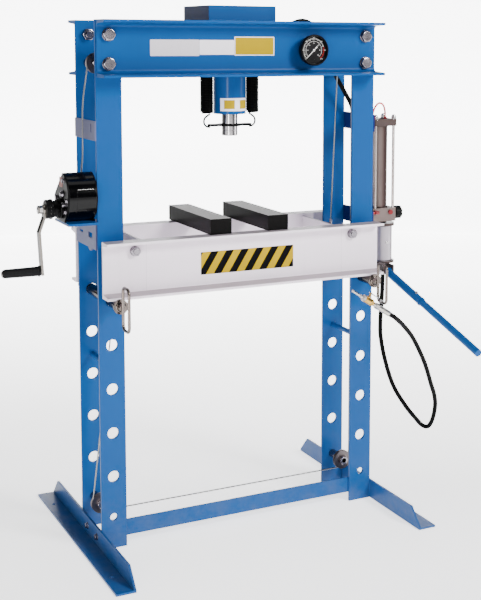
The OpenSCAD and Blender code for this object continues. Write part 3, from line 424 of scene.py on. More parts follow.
def enamel(name, colour, rough=0.36, chip=0.25, worn=srgb(60, 58, 60), dusty=0.0, spec=0.1, seam=0.0, top=None):
    """Sprayed enamel on rolled steel: cloudy tone, faint runs, orange peel, thin worn edges and fine dust.

    A seam is a faint upright line at that x on both sides; top is the tone of faces that look up."""
    f = Finish(name, Coat_Roughness=0.16, Specular_IOR_Level=spec)
    x, _, z = f.axes()
    cloud = f.noise(2.3, 4.0, 0.55)
    runs = f.noise(9.0, 3.0, 0.6, f.stretch((3.0, 3.0, 0.35)))
    specks = f.noise(420.0, 2.0, 0.6)
    mask, soft = f.edges(0.0016)
    tone = f.blend((cloud * 1.5 - 0.25).kept(), tint(colour, 0.90), tint(colour, 1.10))
    tone = f.blend((runs.over(0.56, 0.22)) * 0.12, tone, tint(colour, 0.62))
    tone = f.blend(mask * 0.30, tone, tint(colour, 1.45))
    patchy = f.noise(150.0, 5.0, 0.68).over(0.60 - 0.12 * chip, 0.05)
    chips = (mask.over(0.45, 0.25) * patchy * chip).kept()
    tone = f.blend(chips, tone, worn)
    scuff = f.noise(38.0, 6.0, 0.7, f.stretch((1.0, 1.0, 5.0))).over(0.66, 0.05) * 0.16
    tone = f.blend(scuff, tone, tint(colour, 1.5))
    if seam:
        line = 1.0 - abs(abs(x) - seam).over(0.0006, 0.0009)
        tone = f.blend(line * 0.4, tone, tint(colour, 0.62))
    if top:
        rise = f.axes(f.node("NewGeometry", out=1))[2]
        tone = f.blend(rise.over(0.75, 0.15) * (0.65 + cloud * 0.4), tone, top)
    if dusty:
        low = (1.0 - z.over(0.0, 0.22)) * f.noise(18.0, 5.0, 0.65).over(0.35, 0.4) * dusty
        tone = f.blend(low, tone, srgb(120, 116, 110))
    peel = f.noise(260.0, 2.0, 0.5) * 0.7 + specks * 0.3
    f.set(Base_Color=tone, Roughness=(rough + (cloud - 0.5) * 0.16 + scuff * 0.6 + chips * 0.3).kept(),
          Metallic=chips * 0.5, Coat_Weight=(0.12 - scuff - chips).kept(),
          Normal=f.bump(peel, 0.00009, soft))
    return f.material


def plated(name, colour, rough=0.34, grain=(1.0, 1.0, 1.0), stain=0.35, metal=1.0, pitch=900.0, gleam=None,
           side_shade=None, rim=1.35):
    """Plated or machined metal: fine grain lines, cloudy plating, and rubbed edges or, where rim is below 1, edges
    darkened as painted shade.

    gleam is how dark a form gets across FACING and side_shade the tone that it turns to along ACROSS, both painted
    shade; rim is how bright its edges are, and below 1 it darkens them as painted shade."""
    f = Finish(name)
    cloud = f.noise(14.0, 5.0, 0.6)
    line = f.noise(pitch, 2.0, 0.6, f.stretch(grain))
    mask, soft = f.edges(0.0009)
    tone = f.blend((cloud * 1.7 - 0.35).kept(), tint(colour, 1 - stain), tint(colour, 1 + stain * 0.35))
    tone = f.blend(line.over(0.55, 0.3) * 0.25, tone, tint(colour, 0.45))
    # Edges lighter where rim is above 1, as rubbed wear; where rim is below 1 they are darkened as painted shade.
    tone = f.blend(mask * (0.45 if rim > 1 else 0.85), tone, tint(colour, rim))
    if gleam is not None:
        tone = f.gleam(tone, tint(colour, gleam))
    # Painted shade: faces that point along ACROSS turn to the darker side tone.
    if side_shade:
        tone = f.blend(f.toward(ACROSS).over(-0.75, 1.3), tone, side_shade)
    f.set(Base_Color=tone, Metallic=metal, Roughness=(rough + (cloud - 0.5) * 0.22 + (line - 0.5) * 0.12).kept(),
          Normal=f.bump(line, 0.00004, soft))
    return f.material


def turned(name, colour, axis, rough=0.25, worn=0.2, gleam=None, bands=()):
    """Lathe-turned steel: fine rings across one axis, with scratches along it.

    bands are painted reflections, dark streaks along a bar: where each starts and ends, as the cosine to
    ACROSS, and the share of the tone that it keeps."""
    f = Finish(name, Metallic=1.0)
    along = f.axes()[axis]
    rings = f.node("TexNoise", {"noise_dimensions": "1D"}, {"W": along, "Scale": 1100.0, "Detail": 3.0,
                                                            "Roughness": 0.7})
    grain = [260.0, 260.0, 260.0]
    grain[axis] = 9.0
    scratch = f.noise(1.0, 4.0, 0.7, f.stretch(tuple(grain))).over(0.62, 0.08)
    cloud = f.noise(21.0, 4.0, 0.6)
    mask, soft = f.edges(0.0010)
    tone = f.blend((cloud * 1.6 - 0.3).kept(), tint(colour, 0.78), tint(colour, 1.12))
    tone = f.blend(rings.over(0.5, 0.4) * 0.22, tone, tint(colour, 0.55))
    tone = f.blend(scratch * worn, tone, tint(colour, 0.45))
    tone = f.blend(mask * 0.5, tone, tint(colour, 1.4))
    if gleam is not None:
        tone = f.gleam(tone, tint(colour, gleam))
    # Painted reflections: each band darkens the tone in a streak along the bar, placed by the cosine to ACROSS.
    for start, stop, dark in bands:
        side = f.toward(ACROSS)
        reflection_streak = side.over(start - 0.03, 0.06) * (1.0 - side.over(stop - 0.03, 0.06))
        tone = f.blend(reflection_streak * (1.0 - dark), tone, tint(colour, 0.02))
    f.set(Base_Color=tone, Roughness=(rough + (rings - 0.5) * 0.16 + scratch * 0.15 + (cloud - 0.5) * 0.1).kept(),
          Normal=f.bump(rings, 0.00003, soft))
    return f.material


def valve_metals(name):
    """Ball valve: brass over the middle of its length, plated steel beyond, split by the distance along its axis."""
    f = Finish(name, Metallic=1.0)
    x, _, z = f.axes()
    along = (x - float(VALVE_SEAT[0])) * float(VALVE_WAY[0]) + (z - float(VALVE_SEAT[2])) * float(VALVE_WAY[2])
    body = 1.0 - abs(along - 0.008).over(0.0215, 0.0008)
    cloud = f.noise(40.0, 4.0, 0.6)
    mask, soft = f.edges(0.0009)
    tone = f.blend(body, srgb(196, 192, 188), srgb(206, 164, 84))
    tone = f.blend(cloud.over(0.45, 0.4) * 0.4, tone, tint(srgb(150, 130, 96), 0.6))
    tone = f.blend(mask * 0.5, tone, srgb(236, 228, 210))
    f.set(Base_Color=tone, Roughness=(0.20 + cloud * 0.14).kept(), Normal=f.bump(cloud, 0.00004, soft))
    return f.material


def moulded(name, colour, rough=0.5, peel=0.00006, scale=700.0, coat=0.0, edge=0.0012, spec=0.22):
    """Moulded plastic or dipped paint: fine texture, rubbed edges and a faint bloom."""
    f = Finish(name, Coat_Roughness=0.08, Specular_IOR_Level=spec)
    bloom = f.noise(11.0, 4.0, 0.6)
    fine = f.noise(scale, 3.0, 0.6)
    mask, soft = f.edges(edge)
    tone = f.blend((bloom * 1.4 - 0.2).kept(), tint(colour, 0.82), tint(colour, 1.25))
    tone = f.blend(mask * 0.35, tone, tuple(min(1.0, c * 1.6 + 0.012) for c in colour))
    f.set(Base_Color=tone, Roughness=(rough + (bloom - 0.5) * 0.2).kept(), Coat_Weight=coat,
          Normal=f.bump(fine, peel, soft))
    return f.material


def hose_rubber(name, colour, ribs=260.0):
    """Rubber hose: a cloth wrap's fine ribs round it, dusty where it is handled."""
    f = Finish(name, Specular_IOR_Level=0.05)
    turn, along = f.uv()
    wrap = (along * ribs + turn).wave()
    dust = f.noise(16.0, 5.0, 0.65)
    tone = f.blend(dust.over(0.45, 0.4) * 0.35, colour, tuple(c * 2.0 + 0.004 for c in colour))
    f.set(Base_Color=tone, Roughness=(0.42 + (dust - 0.5) * 0.3).kept(),
          Normal=f.bump(wrap * 0.7 + f.noise(900.0) * 0.3, 0.00012))
    return f.material


def hazard(name, low):
    """Yellow panel with leaning black bars: bar where (x - slope * z) folded to the pitch is past half of it."""
    f = Finish(name, Specular_IOR_Level=0.05)
    x, _, z = f.axes()
    pitch, slope, shift = 0.0575, 0.62, 0.040
    lean = (x - z * slope - (float(low[0]) - float(low[2]) * slope) + shift).wrap(pitch)
    bar = lean.over(pitch * 0.5 - 0.0004, 0.0008) * (1.0 - lean.over(pitch - 0.0008, 0.0008))
    cloud = f.noise(9.0, 4.0, 0.6)
    yellow = f.blend((cloud * 1.5 - 0.25).kept(), (0.36, 0.235, 0.0), (0.45, 0.30, 0.0))
    worn = f.noise(70.0, 6.0, 0.7, f.stretch((1.0, 1.0, 3.0))).over(0.63, 0.06) * 0.35
    tone = f.blend(bar, yellow, srgb(5, 5, 6))
    tone = f.blend(worn * 0.3, tone, srgb(110, 100, 60))
    _, soft = f.edges(0.0008)
    f.set(Base_Color=tone, Roughness=(0.34 + worn + (cloud - 0.5) * 0.15).kept(),
          Normal=f.bump(bar * 0.6 + f.noise(300.0) * 0.4, 0.00006, soft))
    return f.material


def label(name, colour, rough=0.5, metal=0.0):
    """Printed film: faint paper tooth, grime at the rim, slight gloss change."""
    f = Finish(name, Specular_IOR_Level=0.05)
    cloud = f.noise(24.0, 5.0, 0.6)
    fine = f.noise(900.0, 2.0, 0.5)
    mask, soft = f.edges(0.0006)
    tone = f.blend(cloud.over(0.4, 0.5) * 0.5, colour, tint(colour, 0.86))
    tone = f.blend(mask * 0.4, tone, tint(colour, 0.6))
    f.set(Base_Color=tone, Metallic=metal, Roughness=(rough + (cloud - 0.5) * 0.2).kept(),
          Normal=f.bump(fine, 0.00002, soft))
    return f.material


def rope_steel(name):
    """Galvanised wire strand: dark in the lay, bright on the crowns, following the twist on the UV map."""
    f = Finish(name, Metallic=1.0)
    turn, along = f.uv()
    crown = (turn * 6.0 - along * 6.0 / ROPE_LAY).wave()
    fine = (turn * 36.0 + along * 900.0).wave()
    dull = f.noise(35.0, 4.0, 0.6)
    tone = f.blend(crown * 0.85 + fine * 0.15, srgb(72, 72, 74), srgb(196, 196, 194))
    tone = f.blend(dull.over(0.5, 0.3) * 0.3, tone, srgb(120, 112, 100))
    f.set(Base_Color=tone, Roughness=(0.36 + (dull - 0.5) * 0.25).kept(),
          Normal=f.bump(crown * 0.7 + fine * 0.3, 0.0003))
    return f.material


def glass(name):
    """Clear cover glass: mostly see-through, a faint smear in its gloss."""
    f = Finish(name, IOR=1.45, Coat_Weight=0.1, Coat_Roughness=0.03)
    smear = f.noise(30.0, 3.0, 0.6)
    f.set(Base_Color=(0.02, 0.02, 0.02), Alpha=(0.012 + smear * 0.02).kept(), Roughness=(0.03 + smear * 0.08).kept())
    return f.material


def dial_face(name, centre, radius):
    """Dial: near-black enamel, darker towards the rim as painted shade."""
    f = Finish(name, Specular_IOR_Level=0.1)
    x, _, z = f.axes()
    away = ((x - float(centre[0])) ** 2.0 + (z - float(centre[2])) ** 2.0) ** 0.5
    # Painted shade: the tone darkens from the middle towards the rim.
    tone = f.blend(away.over(radius * 0.35, radius * 0.6), srgb(10, 10, 12), srgb(5, 5, 6))
    f.set(Base_Color=tone, Roughness=(0.42 + f.noise(200.0) * 0.12), Normal=f.bump(f.noise(900.0), 0.00001))
    return f.material


FINISHES = {}


def finish(name):
    """A finish by its plain name, made when it is first asked for."""
    if name not in FINISHES:
        look = bpy.context.scene.press_look
        gauge = sum(box("gauge_case")) / 2
        makers = {
            "frame enamel": lambda n: enamel(n, tuple(look.frame_colour), look.frame_gloss, 0.3, dusty=0.2),
            "cylinder enamel": lambda n: enamel(n, tint(tuple(look.frame_colour), 0.92), 0.24, 0.2),
            "lever enamel": lambda n: enamel(n, tint(tuple(look.frame_colour), 1.05), 0.34, 0.55),
            "bed enamel": lambda n: enamel(n, tuple(look.bed_colour), 0.40, 0.5, worn=srgb(128, 122, 118), seam=0.373,
                                           top=srgb(140, 130, 134)),
            "hazard": lambda n: hazard(n, box("hazard_panel")[0]),
            # The gleam, side tone and bands given below are painted shade and painted reflections, set by the way a
            # face points; bolt zinc's rim of 0.2 darkens its edges as painted shade.
            "bolt zinc": lambda n: plated(n, srgb(166, 160, 168), 0.22, stain=0.5, gleam=0.45, rim=0.2),
            "small zinc": lambda n: plated(n, srgb(196, 192, 198), 0.40, stain=0.3, metal=0.35),
            "strap zinc": lambda n: plated(n, srgb(98, 100, 130), 0.48, (1.0, 0.12, 1.0), 0.25, 0.85),
            "crank zinc": lambda n: plated(n, srgb(150, 144, 138), 0.24, (1.0, 1.0, 0.1), 0.3, gleam=0.08),
            "pulley zinc": lambda n: plated(n, srgb(112, 104, 104), 0.30, stain=0.4, gleam=0.4),
            "gear steel": lambda n: turned(n, srgb(120, 118, 118), 0, 0.36),
            "pin steel": lambda n: turned(n, srgb(122, 112, 106), 1, 0.22, gleam=0.10),
            "plunger steel": lambda n: turned(n, srgb(190, 188, 186), 2, 0.16),
            # The ram's bands are painted reflections: dark streaks down the bar.
            "ram chrome": lambda n: turned(n, srgb(212, 208, 210), 2, 0.12, worn=0.12,
                                           bands=((-0.97, -0.55, 0.1), (-0.20, -0.02, 0.75), (0.36, 0.58, 0.2),
                                                  (0.78, 1.10, 0.4))),
            "tie steel": lambda n: turned(n, srgb(196, 186, 182), 2, 0.22, gleam=0.25),
            "lever steel": lambda n: plated(n, srgb(196, 194, 190), 0.24, stain=0.2),
            # The pump barrel's side tone is painted shade, darker on its right side.
            "pump alloy": lambda n: plated(n, srgb(170, 154, 148), 0.38, (1.0, 1.0, 0.06), 0.22, 0.85,
                                           side_shade=srgb(74, 58, 56)),
            "cast alloy": lambda n: plated(n, srgb(80, 68, 66), 0.46, (1.0, 1.0, 1.0), 0.3, 0.8, pitch=420.0),
            "block alloy": lambda n: plated(n, srgb(124, 110, 106), 0.46, (1.0, 1.0, 1.0), 0.3, 0.8, pitch=420.0),
            "tank alloy": lambda n: plated(n, srgb(182, 174, 182), 0.36, (1.0, 1.0, 0.08), 0.15, 0.8, gleam=0.40),
            # The frame's blue darkened to navy for the pump straps: painted shade.
            "strap enamel": lambda n: enamel(n, srgb(22, 36, 96), 0.36),
            "valve metals": valve_metals,
            "chrome": lambda n: plated(n, srgb(214, 212, 210), 0.12, stain=0.12),
            "bar scale": lambda n: enamel(n, srgb(7, 6, 6), 0.5, 0.8, worn=srgb(60, 56, 54), spec=0.03,
                                          top=srgb(58, 52, 48)),
            "black dip": lambda n: moulded(n, srgb(5, 5, 6), 0.32, spec=0.08),
            "cover gloss": lambda n: moulded(n, srgb(1, 1, 2), 0.13, 0.00002, 160.0, 0.0, 0.002),
            "coil black": lambda n: moulded(n, srgb(4, 4, 4), 0.34, spec=0.03),
            "knob black": lambda n: moulded(n, srgb(6, 6, 7), 0.42, spec=0.1),
            "grip black": lambda n: moulded(n, srgb(14, 14, 15), 0.62, 0.0001, 500.0, spec=0.1),
            "grip red": lambda n: moulded(n, srgb(92, 22, 24), 0.42, coat=0.2),
            "plug red": lambda n: moulded(n, srgb(122, 18, 26), 0.36, coat=0.3),
            "tube red": lambda n: moulded(n, srgb(196, 24, 30), 0.26, 0.00002, coat=0.4),
            "hose rubber": lambda n: hose_rubber(n, srgb(6, 6, 6)),
            "oil hose rubber": lambda n: hose_rubber(n, srgb(5, 5, 5), 150.0),
            "rope": rope_steel,
            "glass": glass,
            "dial": lambda n: dial_face(n, gauge, 0.049),
            "ink white": lambda n: label(n, srgb(232, 230, 226), 0.5),
            "ink red": lambda n: label(n, srgb(200, 34, 30), 0.5),
            "label silver": lambda n: label(n, srgb(214, 208, 214), 0.32, 0.2),
            "label white": lambda n: label(n, srgb(244, 238, 244)),
            "label yellow": lambda n: label(n, (0.40, 0.27, 0.0)),
            "label pink": lambda n: label(n, srgb(150, 112, 108)),
            "weld": lambda n: enamel(n, tint(tuple(look.frame_colour), 1.05), 0.30, 0.2),
            "bed weld": lambda n: enamel(n, tint(tuple(look.bed_colour), 0.95), 0.36, 0.2),
            "black hole": lambda n: moulded(n, srgb(8, 8, 9), 0.7),
            "block saw": lambda n: plated(n, srgb(62, 70, 98), 0.55, (1.0, 1.0, 12.0), 0.35, 0.3, pitch=60.0),
        }
        FINISHES[name] = makers[name](name)
    return FINISHES[name]


CARRIED = {
    "frame enamel": "post_front_left post_front_right post_rear_left post_rear_right cross_rods foot_left foot_right "
                    "bottom_rail beam_front beam_rear top_block winch_shelf",
    "strap enamel": "pump_straps",
    "cylinder enamel": "cylinder_tube",
    "lever enamel": "pump_lever",
    "bed enamel": "bed_front bed_rear bed_plates",
    "hazard": "hazard_panel",
    "bolt zinc": "frame_bolts bed_rods rope_ends",
    "small zinc": "small_bolts",
    "strap zinc": "left_plates",
    "crank zinc": "winch_crank",
    "pulley zinc": "pulley_top_left pulley_top_right pulley_low_left pulley_low_right",
    "gear steel": "winch_drum",
    "pin steel": "pin_left pin_right",
    "plunger steel": "pump_plunger",
    "ram chrome": "ram",
    "tie steel": "tie_rods",
    "lever steel": "valve_handle air_fitting",
    "pump alloy": "pump_barrel",
    "cast alloy": "pump_cap pump_gland",
    "block alloy": "valve_block",
    "tank alloy": "pump_tank",
    "valve metals": "air_valve",
    "bar scale": "press_bars",
    "black dip": "spring_bracket gauge_case winch_plates",
    "cover gloss": "winch_cover",
    "knob black": "release_knob",
    "grip black": "crank_grip",
    "coil black": "return_springs",
    "plug red": "port_fittings gauge_needle",
    "tube red": "air_tube",
    "hose rubber": "air_hose",
    "oil hose rubber": "hydraulic_hose",
    "rope": "ropes_fixed rope_lifts rope_tie",
    "glass": "gauge_lens",
}

# The routes of the hoses and of the red tube, as the frame has them.
VALVE_FALL = math.radians(33)
VALVE_SEAT = np.array([0.42074, -0.268, 0.80622])
VALVE_WAY = np.array([math.cos(VALVE_FALL), 0, -math.sin(VALVE_FALL)])
AIR_ROUTE = [(0.661, 0.030, 0.845), (0.661, 0.030, 0.800), (0.657, 0.029, 0.720), (0.652, 0.028, 0.646),
             (0.652, 0.024, 0.580), (0.666, 0.012, 0.487), (0.694, -0.005, 0.387), (0.736, -0.028, 0.307),
             (0.772, -0.049, 0.255), (0.793, -0.067, 0.228), (0.808, -0.088, 0.229), (0.817, -0.105, 0.265),
             (0.817, -0.120, 0.321), (0.801, -0.136, 0.370), (0.777, -0.152, 0.414), (0.724, -0.181, 0.520),
             (0.654, -0.212, 0.625), (0.592, -0.241, 0.688), tuple(VALVE_SEAT + 0.140 * VALVE_WAY),
             tuple(VALVE_SEAT + 0.124 * VALVE_WAY), tuple(VALVE_SEAT + 0.1083 * VALVE_WAY)]
OIL_ROUTE = [(0.600, 0.076, 1.1123), (0.600, 0.076, 1.122), (0.600, 0.076, 1.132), (0.597, 0.077, 1.165),
             (0.590, 0.078, 1.230), (0.577, 0.078, 1.310), (0.561, 0.077, 1.390), (0.549, 0.073, 1.436),
             (0.541, 0.0655, 1.464), (0.534, 0.058, 1.480), (0.521, 0.051, 1.502), (0.500, 0.047, 1.532),
             (0.478, 0.045, 1.566), (0.455, 0.045, 1.602), (0.428, 0.047, 1.655), (0.402, 0.048, 1.710),
             (0.384, 0.048, 1.752), (0.368, 0.048, 1.780), (0.345, 0.049, 1.799), (0.315, 0.050, 1.807),
             (0.284, 0.050, 1.800), (0.256, 0.049, 1.786), (0.228, 0.047, 1.775), (0.195, 0.045, 1.770),
             (0.178, 0.045, 1.770), (0.1603, 0.045, 1.770)]
TUBE_ROUTE = [(0.640, -0.010, 1.4483), (0.640, -0.010, 1.455), (0.640, -0.010, 1.462), (0.634, -0.014, 1.482),
              (0.619, -0.022, 1.497), (0.598, -0.030, 1.499), (0.578, -0.038, 1.483), (0.563, -0.046, 1.452),
              (0.554, -0.053, 1.410), (0.550, -0.058, 1.350), (0.549, -0.059, 1.280), (0.549, -0.059, 1.200),
              (0.549, -0.059, 1.128), (0.550, -0.059, 1.108), (0.555, -0.059, 1.092), (0.563, -0.059, 1.086),
              (0.567, -0.059, 1.086), (0.5707, -0.059, 1.086)]


class PressLook(bpy.types.PropertyGroup):
    """Colours and finishes that a user would change."""

    frame_colour: FloatVectorProperty(name="Frame colour", description="Enamel of the frame", subtype="COLOR",
                                      size=3, min=0, max=1, default=srgb(8, 70, 130))
    bed_colour: FloatVectorProperty(name="Bed colour", description="Enamel of the bed", subtype="COLOR",
                                    size=3, min=0, max=1, default=srgb(236, 225, 235))
    frame_gloss: FloatProperty(name="Frame roughness", description="Roughness of the frame enamel",
                               min=0.05, max=1, default=0.36)


class PressSizes(bpy.types.PropertyGroup):
    """Sizes of the pieces that are drawn round the frame."""

    hose: FloatProperty(name="Air hose", description="Outside diameter of the air hose", unit="LENGTH",
                        default=0.017, min=0.005, max=0.03)
    oil_hose: FloatProperty(name="Oil hose", description="Outside diameter of the oil hose", unit="LENGTH",
                            default=0.017, min=0.005, max=0.03)
    tube: FloatProperty(name="Red tube", description="Outside diameter of the air tube", unit="LENGTH",
                        default=0.007, min=0.003, max=0.02)
    rope: FloatProperty(name="Wire rope", description="Diameter of the wire rope", unit="LENGTH",
                        default=0.005, min=0.002, max=0.01)
    coils: IntProperty(name="Coils", description="Turns in each return spring", default=27, min=6, max=40)
    wire: FloatProperty(name="Coil wire", description="Diameter of the spring wire", unit="LENGTH",
                        default=0.0060, min=0.002, max=0.0065)
    bead: FloatProperty(name="Weld bead", description="Radius of a weld bead", unit="LENGTH",
                        default=0.0038, min=0.001, max=0.01)


# ---------------------------------------------------------------- places worked out once

POST = 0.4825  # middle of a post, along X
HEAD_X = 0.484  # head bolts and pulley axles, along X
HIGH, LOW = 1.751, 1.655  # upper and lower row in the head
WEB, INNER = 0.124, 0.106  # outer and inner face of a head beam, either side in Y
LOW_SHEAVE, SHEAVE = 0.1105, 0.030  # height of the low pulleys, and the ropes' radius on any pulley
NEAR_ROPE, FAR_ROPE = 0.012, 0.028  # the ropes' two places in Y
ROD_X, ROD_R = 0.414, 0.010  # bed rods, and the cross rods and axles of that radius
CRANK_Y, CRANK_Z = -0.060, 1.178
DRUM_Y, DRUM_Z, DRUM_R = -0.080, 1.228, 0.0277
PUMP_X = 0.621
BLOCK_TOP = 1.8003  # where the top block's beads lie


def tangent(c1, r1, s1, c2, r2, s2, side):
    """Unit normal n of the line that touches two circles: n . (c2 - c1) = s1 r1 - s2 r2, on the given side."""
    d = np.subtract(c2, c1)
    k = (s1 * r1 - s2 * r2) / np.hypot(*d)
    a = math.atan2(d[1], d[0]) + side * math.acos(k)
    return np.array([math.cos(a), math.sin(a)])


def arc(centre, y, start, stop):
    """Points round a pulley in the XZ plane, from one angle to the other in degrees, about 6 degrees apart."""
    a = np.radians(np.linspace(start, stop, max(3, int(abs(stop - start) / 6.0))))
    return np.stack([centre[0] + SHEAVE * np.cos(a), np.full(len(a), y), centre[1] + SHEAVE * np.sin(a)], -1)


def straight(a, b, step=0.012):
    """Points on a line, step apart."""
    a, b = np.array(a, float), np.array(b, float)
    return a + np.linspace(0, 1, max(2, int(np.linalg.norm(b - a) / step)))[:, None] * (b - a)


def strand(path, diameter):
    """Wire strand: six wires laid round, r(s, a) = d / 2 * (0.88 + 0.12 |cos(3 (a - 2 pi s / lay))| ** 0.6)."""
    s = travelled(path)[:, None]
    a = np.linspace(0, 2 * math.pi, 24, endpoint=False)[None]
    r = diameter / 2 * (0.88 + 0.12 * np.abs(np.cos(3 * (a - 2 * math.pi * s / ROPE_LAY))) ** 0.6)
    return sweep(path, r, 24)


def bead(skin, start, stop, radius):
    """Weld bead: a half-sunk tube whose radius swells with each drop, r = R (0.84 + 0.16 |sin(pi s / p)| ** 0.7)
    with p = 5.2 mm, and tapers to 0.35 R at both ends."""
    path = straight(start, stop, 0.0016)
    s = travelled(path)
    r = radius * (0.84 + 0.16 * np.abs(np.sin(math.pi * s / 0.0052)) ** 0.7)
    r *= np.clip(np.minimum(s, s[-1] - s) / 0.004 + 0.35, 0.35, 1.0)
    way = unit(np.subtract(stop, start))
    skin.add(sweep(path, r, 10, up=Z if abs(way[2]) < 0.9 else X))


def bolt(skin, at, axis, across, washer, t=0.003, tall=0.015):
    """Washer, t thick, and chamfered hexagon head: at is the point on the face, axis points out of it."""
    skin.turn(at, axis, washer * 0.3, [(0.0, washer / 2 - 0.0003), (0.0003, washer / 2), (t - 0.0005, washer / 2),
                                       (t, washer / 2 - 0.0005)], 40)
    skin.add(hexagon(at, axis, across, t - 0.0001, t + tall))


def shank(skin, at, axis, radius, start, stop, thread):
    """Rod with chamfered ends and, over its last stretch, thread grooves 0.7 mm deep at every other millimetre."""
    k = np.arange(int(thread / 0.001))
    h = [start, start + 0.0008, *(stop - thread + k * 0.001), stop - 0.001, stop - 0.0009, stop]
    r = [radius - 0.0008, radius, *(radius - 0.0007 * (k % 2)), radius, radius, radius - 0.0011]
    skin.add(lathe(at, axis, list(zip(h, r)), 28))


# The floor's own light is brighter in a wedge along BACKWARD, which is 4.2 degrees off the rest camera's heading, so it
# is laid by where the camera stands too. BACK_TURN is the same heading for the backdrop.
GLOW = 6.0
BACKWARD = (0.407, 0.914)
BACK_TURN = math.radians(24)
BACK_AWAY, BACK_CURVE, BACK_TOP = 6.6, 0.8, 2.5
CAMERA_AT = (-1.7153, -3.9542, 1.7432)
CAMERA_TURN = (0.4925, -0.1077, 0.0063)  # yaw from +Y, pitch and roll, in radians
SENSOR, LENS, SHIFT = 36.0, 72.2, (-0.1484, -0.2194)

# Each lamp's name, place, aim, size and power in watts.
LAMPS = (
    ("key", (2.3, -4.2, 3.7), (0.1, 0, 1.1), (1.5, 1.5), 390.0),
    ("front_strip", (-3.0, -3.8, 1.4), (0.0, 0, 0.8), (0.5, 2.0), 70.0),
    ("right_strip", (4.4, -1.6, 1.2), (0.0, 0, 1.1), (0.4, 2.2), 30.0),
    ("foot_fill", (-2.1, -1.7, 0.45), (-0.56, -0.3, 0.03), (0.6, 0.4), 9.0),
    ("top", (0.0, -0.4, 4.6), (0, 0, 0), (3.0, 3.0), 40.0),
    ("rear", (-1.8, 3.2, 2.6), (0, 0, 1.0), (2.0, 2.0), 20.0),
)


# ---------------------------------------------------------------- operators


class PRESS_OT_stage(bpy.types.Operator):
    """Pale floor, soft studio light and the camera"""

    bl_idname = "press.stage"
    bl_label = "Stage"

    def execute(self, context):
        scene = context.scene
        f = Finish("floor", Specular_IOR_Level=0.1, Emission_Strength=GLOW)
        x, y, _ = f.axes()
        depth = x * BACKWARD[0] + y * BACKWARD[1]
        aside = abs(x * BACKWARD[1] - y * BACKWARD[0]) - depth * 0.2
        behind = depth.over(0.2, 4.2) * (1.0 - aside.over(1.1, 0.7))
        cloud = f.noise(0.9, 4.0, 0.6)
        f.set(Base_Color=f.blend(cloud, srgb(238, 238, 240), srgb(246, 246, 247)), Roughness=0.6 + cloud * 0.2,
              Emission_Color=f.blend(behind, (0.28, 0.28, 0.28), (1.0, 1.0, 1.0)))
        floor = Skin("floor")
        a = np.linspace(0, 2 * math.pi, 96, endpoint=False)
        r = np.array([0.0005, 3.0, 9.0, 26.0])
        floor.add(np.stack([r[:, None] * np.cos(a), r[:, None] * np.sin(a), -0.0004 + 0 * r[:, None] * a], -1),
                  ends=False, toward=Z)
        a = np.linspace(-0.42, 0.42, 40) + BACK_TURN
        turn = np.linspace(0, math.pi / 2, 10)
        away = np.concatenate([BACK_AWAY + BACK_CURVE * np.sin(turn), [BACK_AWAY + BACK_CURVE]])[:, None]
        up = np.concatenate([BACK_CURVE - BACK_CURVE * np.cos(turn), [BACK_TOP]])[:, None]
        floor.add(np.stack([away * np.sin(a), away * np.cos(a), up + 0 * a], -1), around=False, ends=False, toward=-Y)
        floor.make([f.material])

        world = bpy.data.worlds.new("studio")
        scene.world = world
        world.use_nodes = True
        sky = world.node_tree.nodes["Background"]
        sky.inputs[0].default_value, sky.inputs[1].default_value = (0.90, 0.94, 1.0, 1.0), 0.08
        for name, at, aim, size, power in LAMPS:
            light = bpy.data.lights.new(name, "AREA")
            light.shape, light.size, light.size_y, light.energy = "RECTANGLE", *size, power
            lamp = bpy.data.objects.new(name, light)
            scene.collection.objects.link(lamp)
            lamp.location = at
            lamp.rotation_euler = (Vector(aim) - Vector(at)).to_track_quat("-Z", "Y").to_euler()

        yaw, pitch, roll = CAMERA_TURN
        ahead = np.array([math.sin(yaw) * math.cos(pitch), math.cos(yaw) * math.cos(pitch), math.sin(pitch)])
        side = np.array([math.cos(yaw), -math.sin(yaw), 0.0])
        above = np.cross(side, ahead)
        right = math.cos(roll) * side + math.sin(roll) * above
        top = -math.sin(roll) * side + math.cos(roll) * above
        lens = bpy.data.cameras.new("camera")
        lens.sensor_width, lens.lens = SENSOR, LENS
        lens.shift_x, lens.shift_y = SHIFT
        lens.clip_start, lens.clip_end = 0.05, 100.0
        camera = bpy.data.objects.new("camera", lens)
        scene.collection.objects.link(camera)
        camera.matrix_world = Matrix([[*row] for row in zip(right, top, -ahead, CAMERA_AT)] + [[0, 0, 0, 1]])
        scene.camera = camera
        return {"FINISHED"}


class PRESS_OT_carried(bpy.types.Operator):
    """A finish for every node that is carried over from the frame"""

    bl_idname = "press.carried"
    bl_label = "Frame finishes"

    def execute(self, context):
        for name, nodes in CARRIED.items():
            for node in nodes.split():
                NODES[node].data.materials.clear()
                NODES[node].data.materials.append(finish(name))
        return {"FINISHED"}


class PRESS_OT_air_hose(bpy.types.Operator):
    """Free air hose from the tank's fitting, hanging in one loop, to the valve on the right pin"""

    bl_idname = "press.air_hose"
    bl_label = "Air hose"

    def execute(self, context):
        size = context.scene.press_sizes
        path = smooth_path(AIR_ROUTE, 8)
        hose = Skin("air_hose_line").add(sweep(path, size.hose / 2, 18))
        piece = hose.make([finish("hose rubber")], slot="black_rubber", replaces=["air_hose"])
        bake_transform(piece)
        return {"FINISHED"}


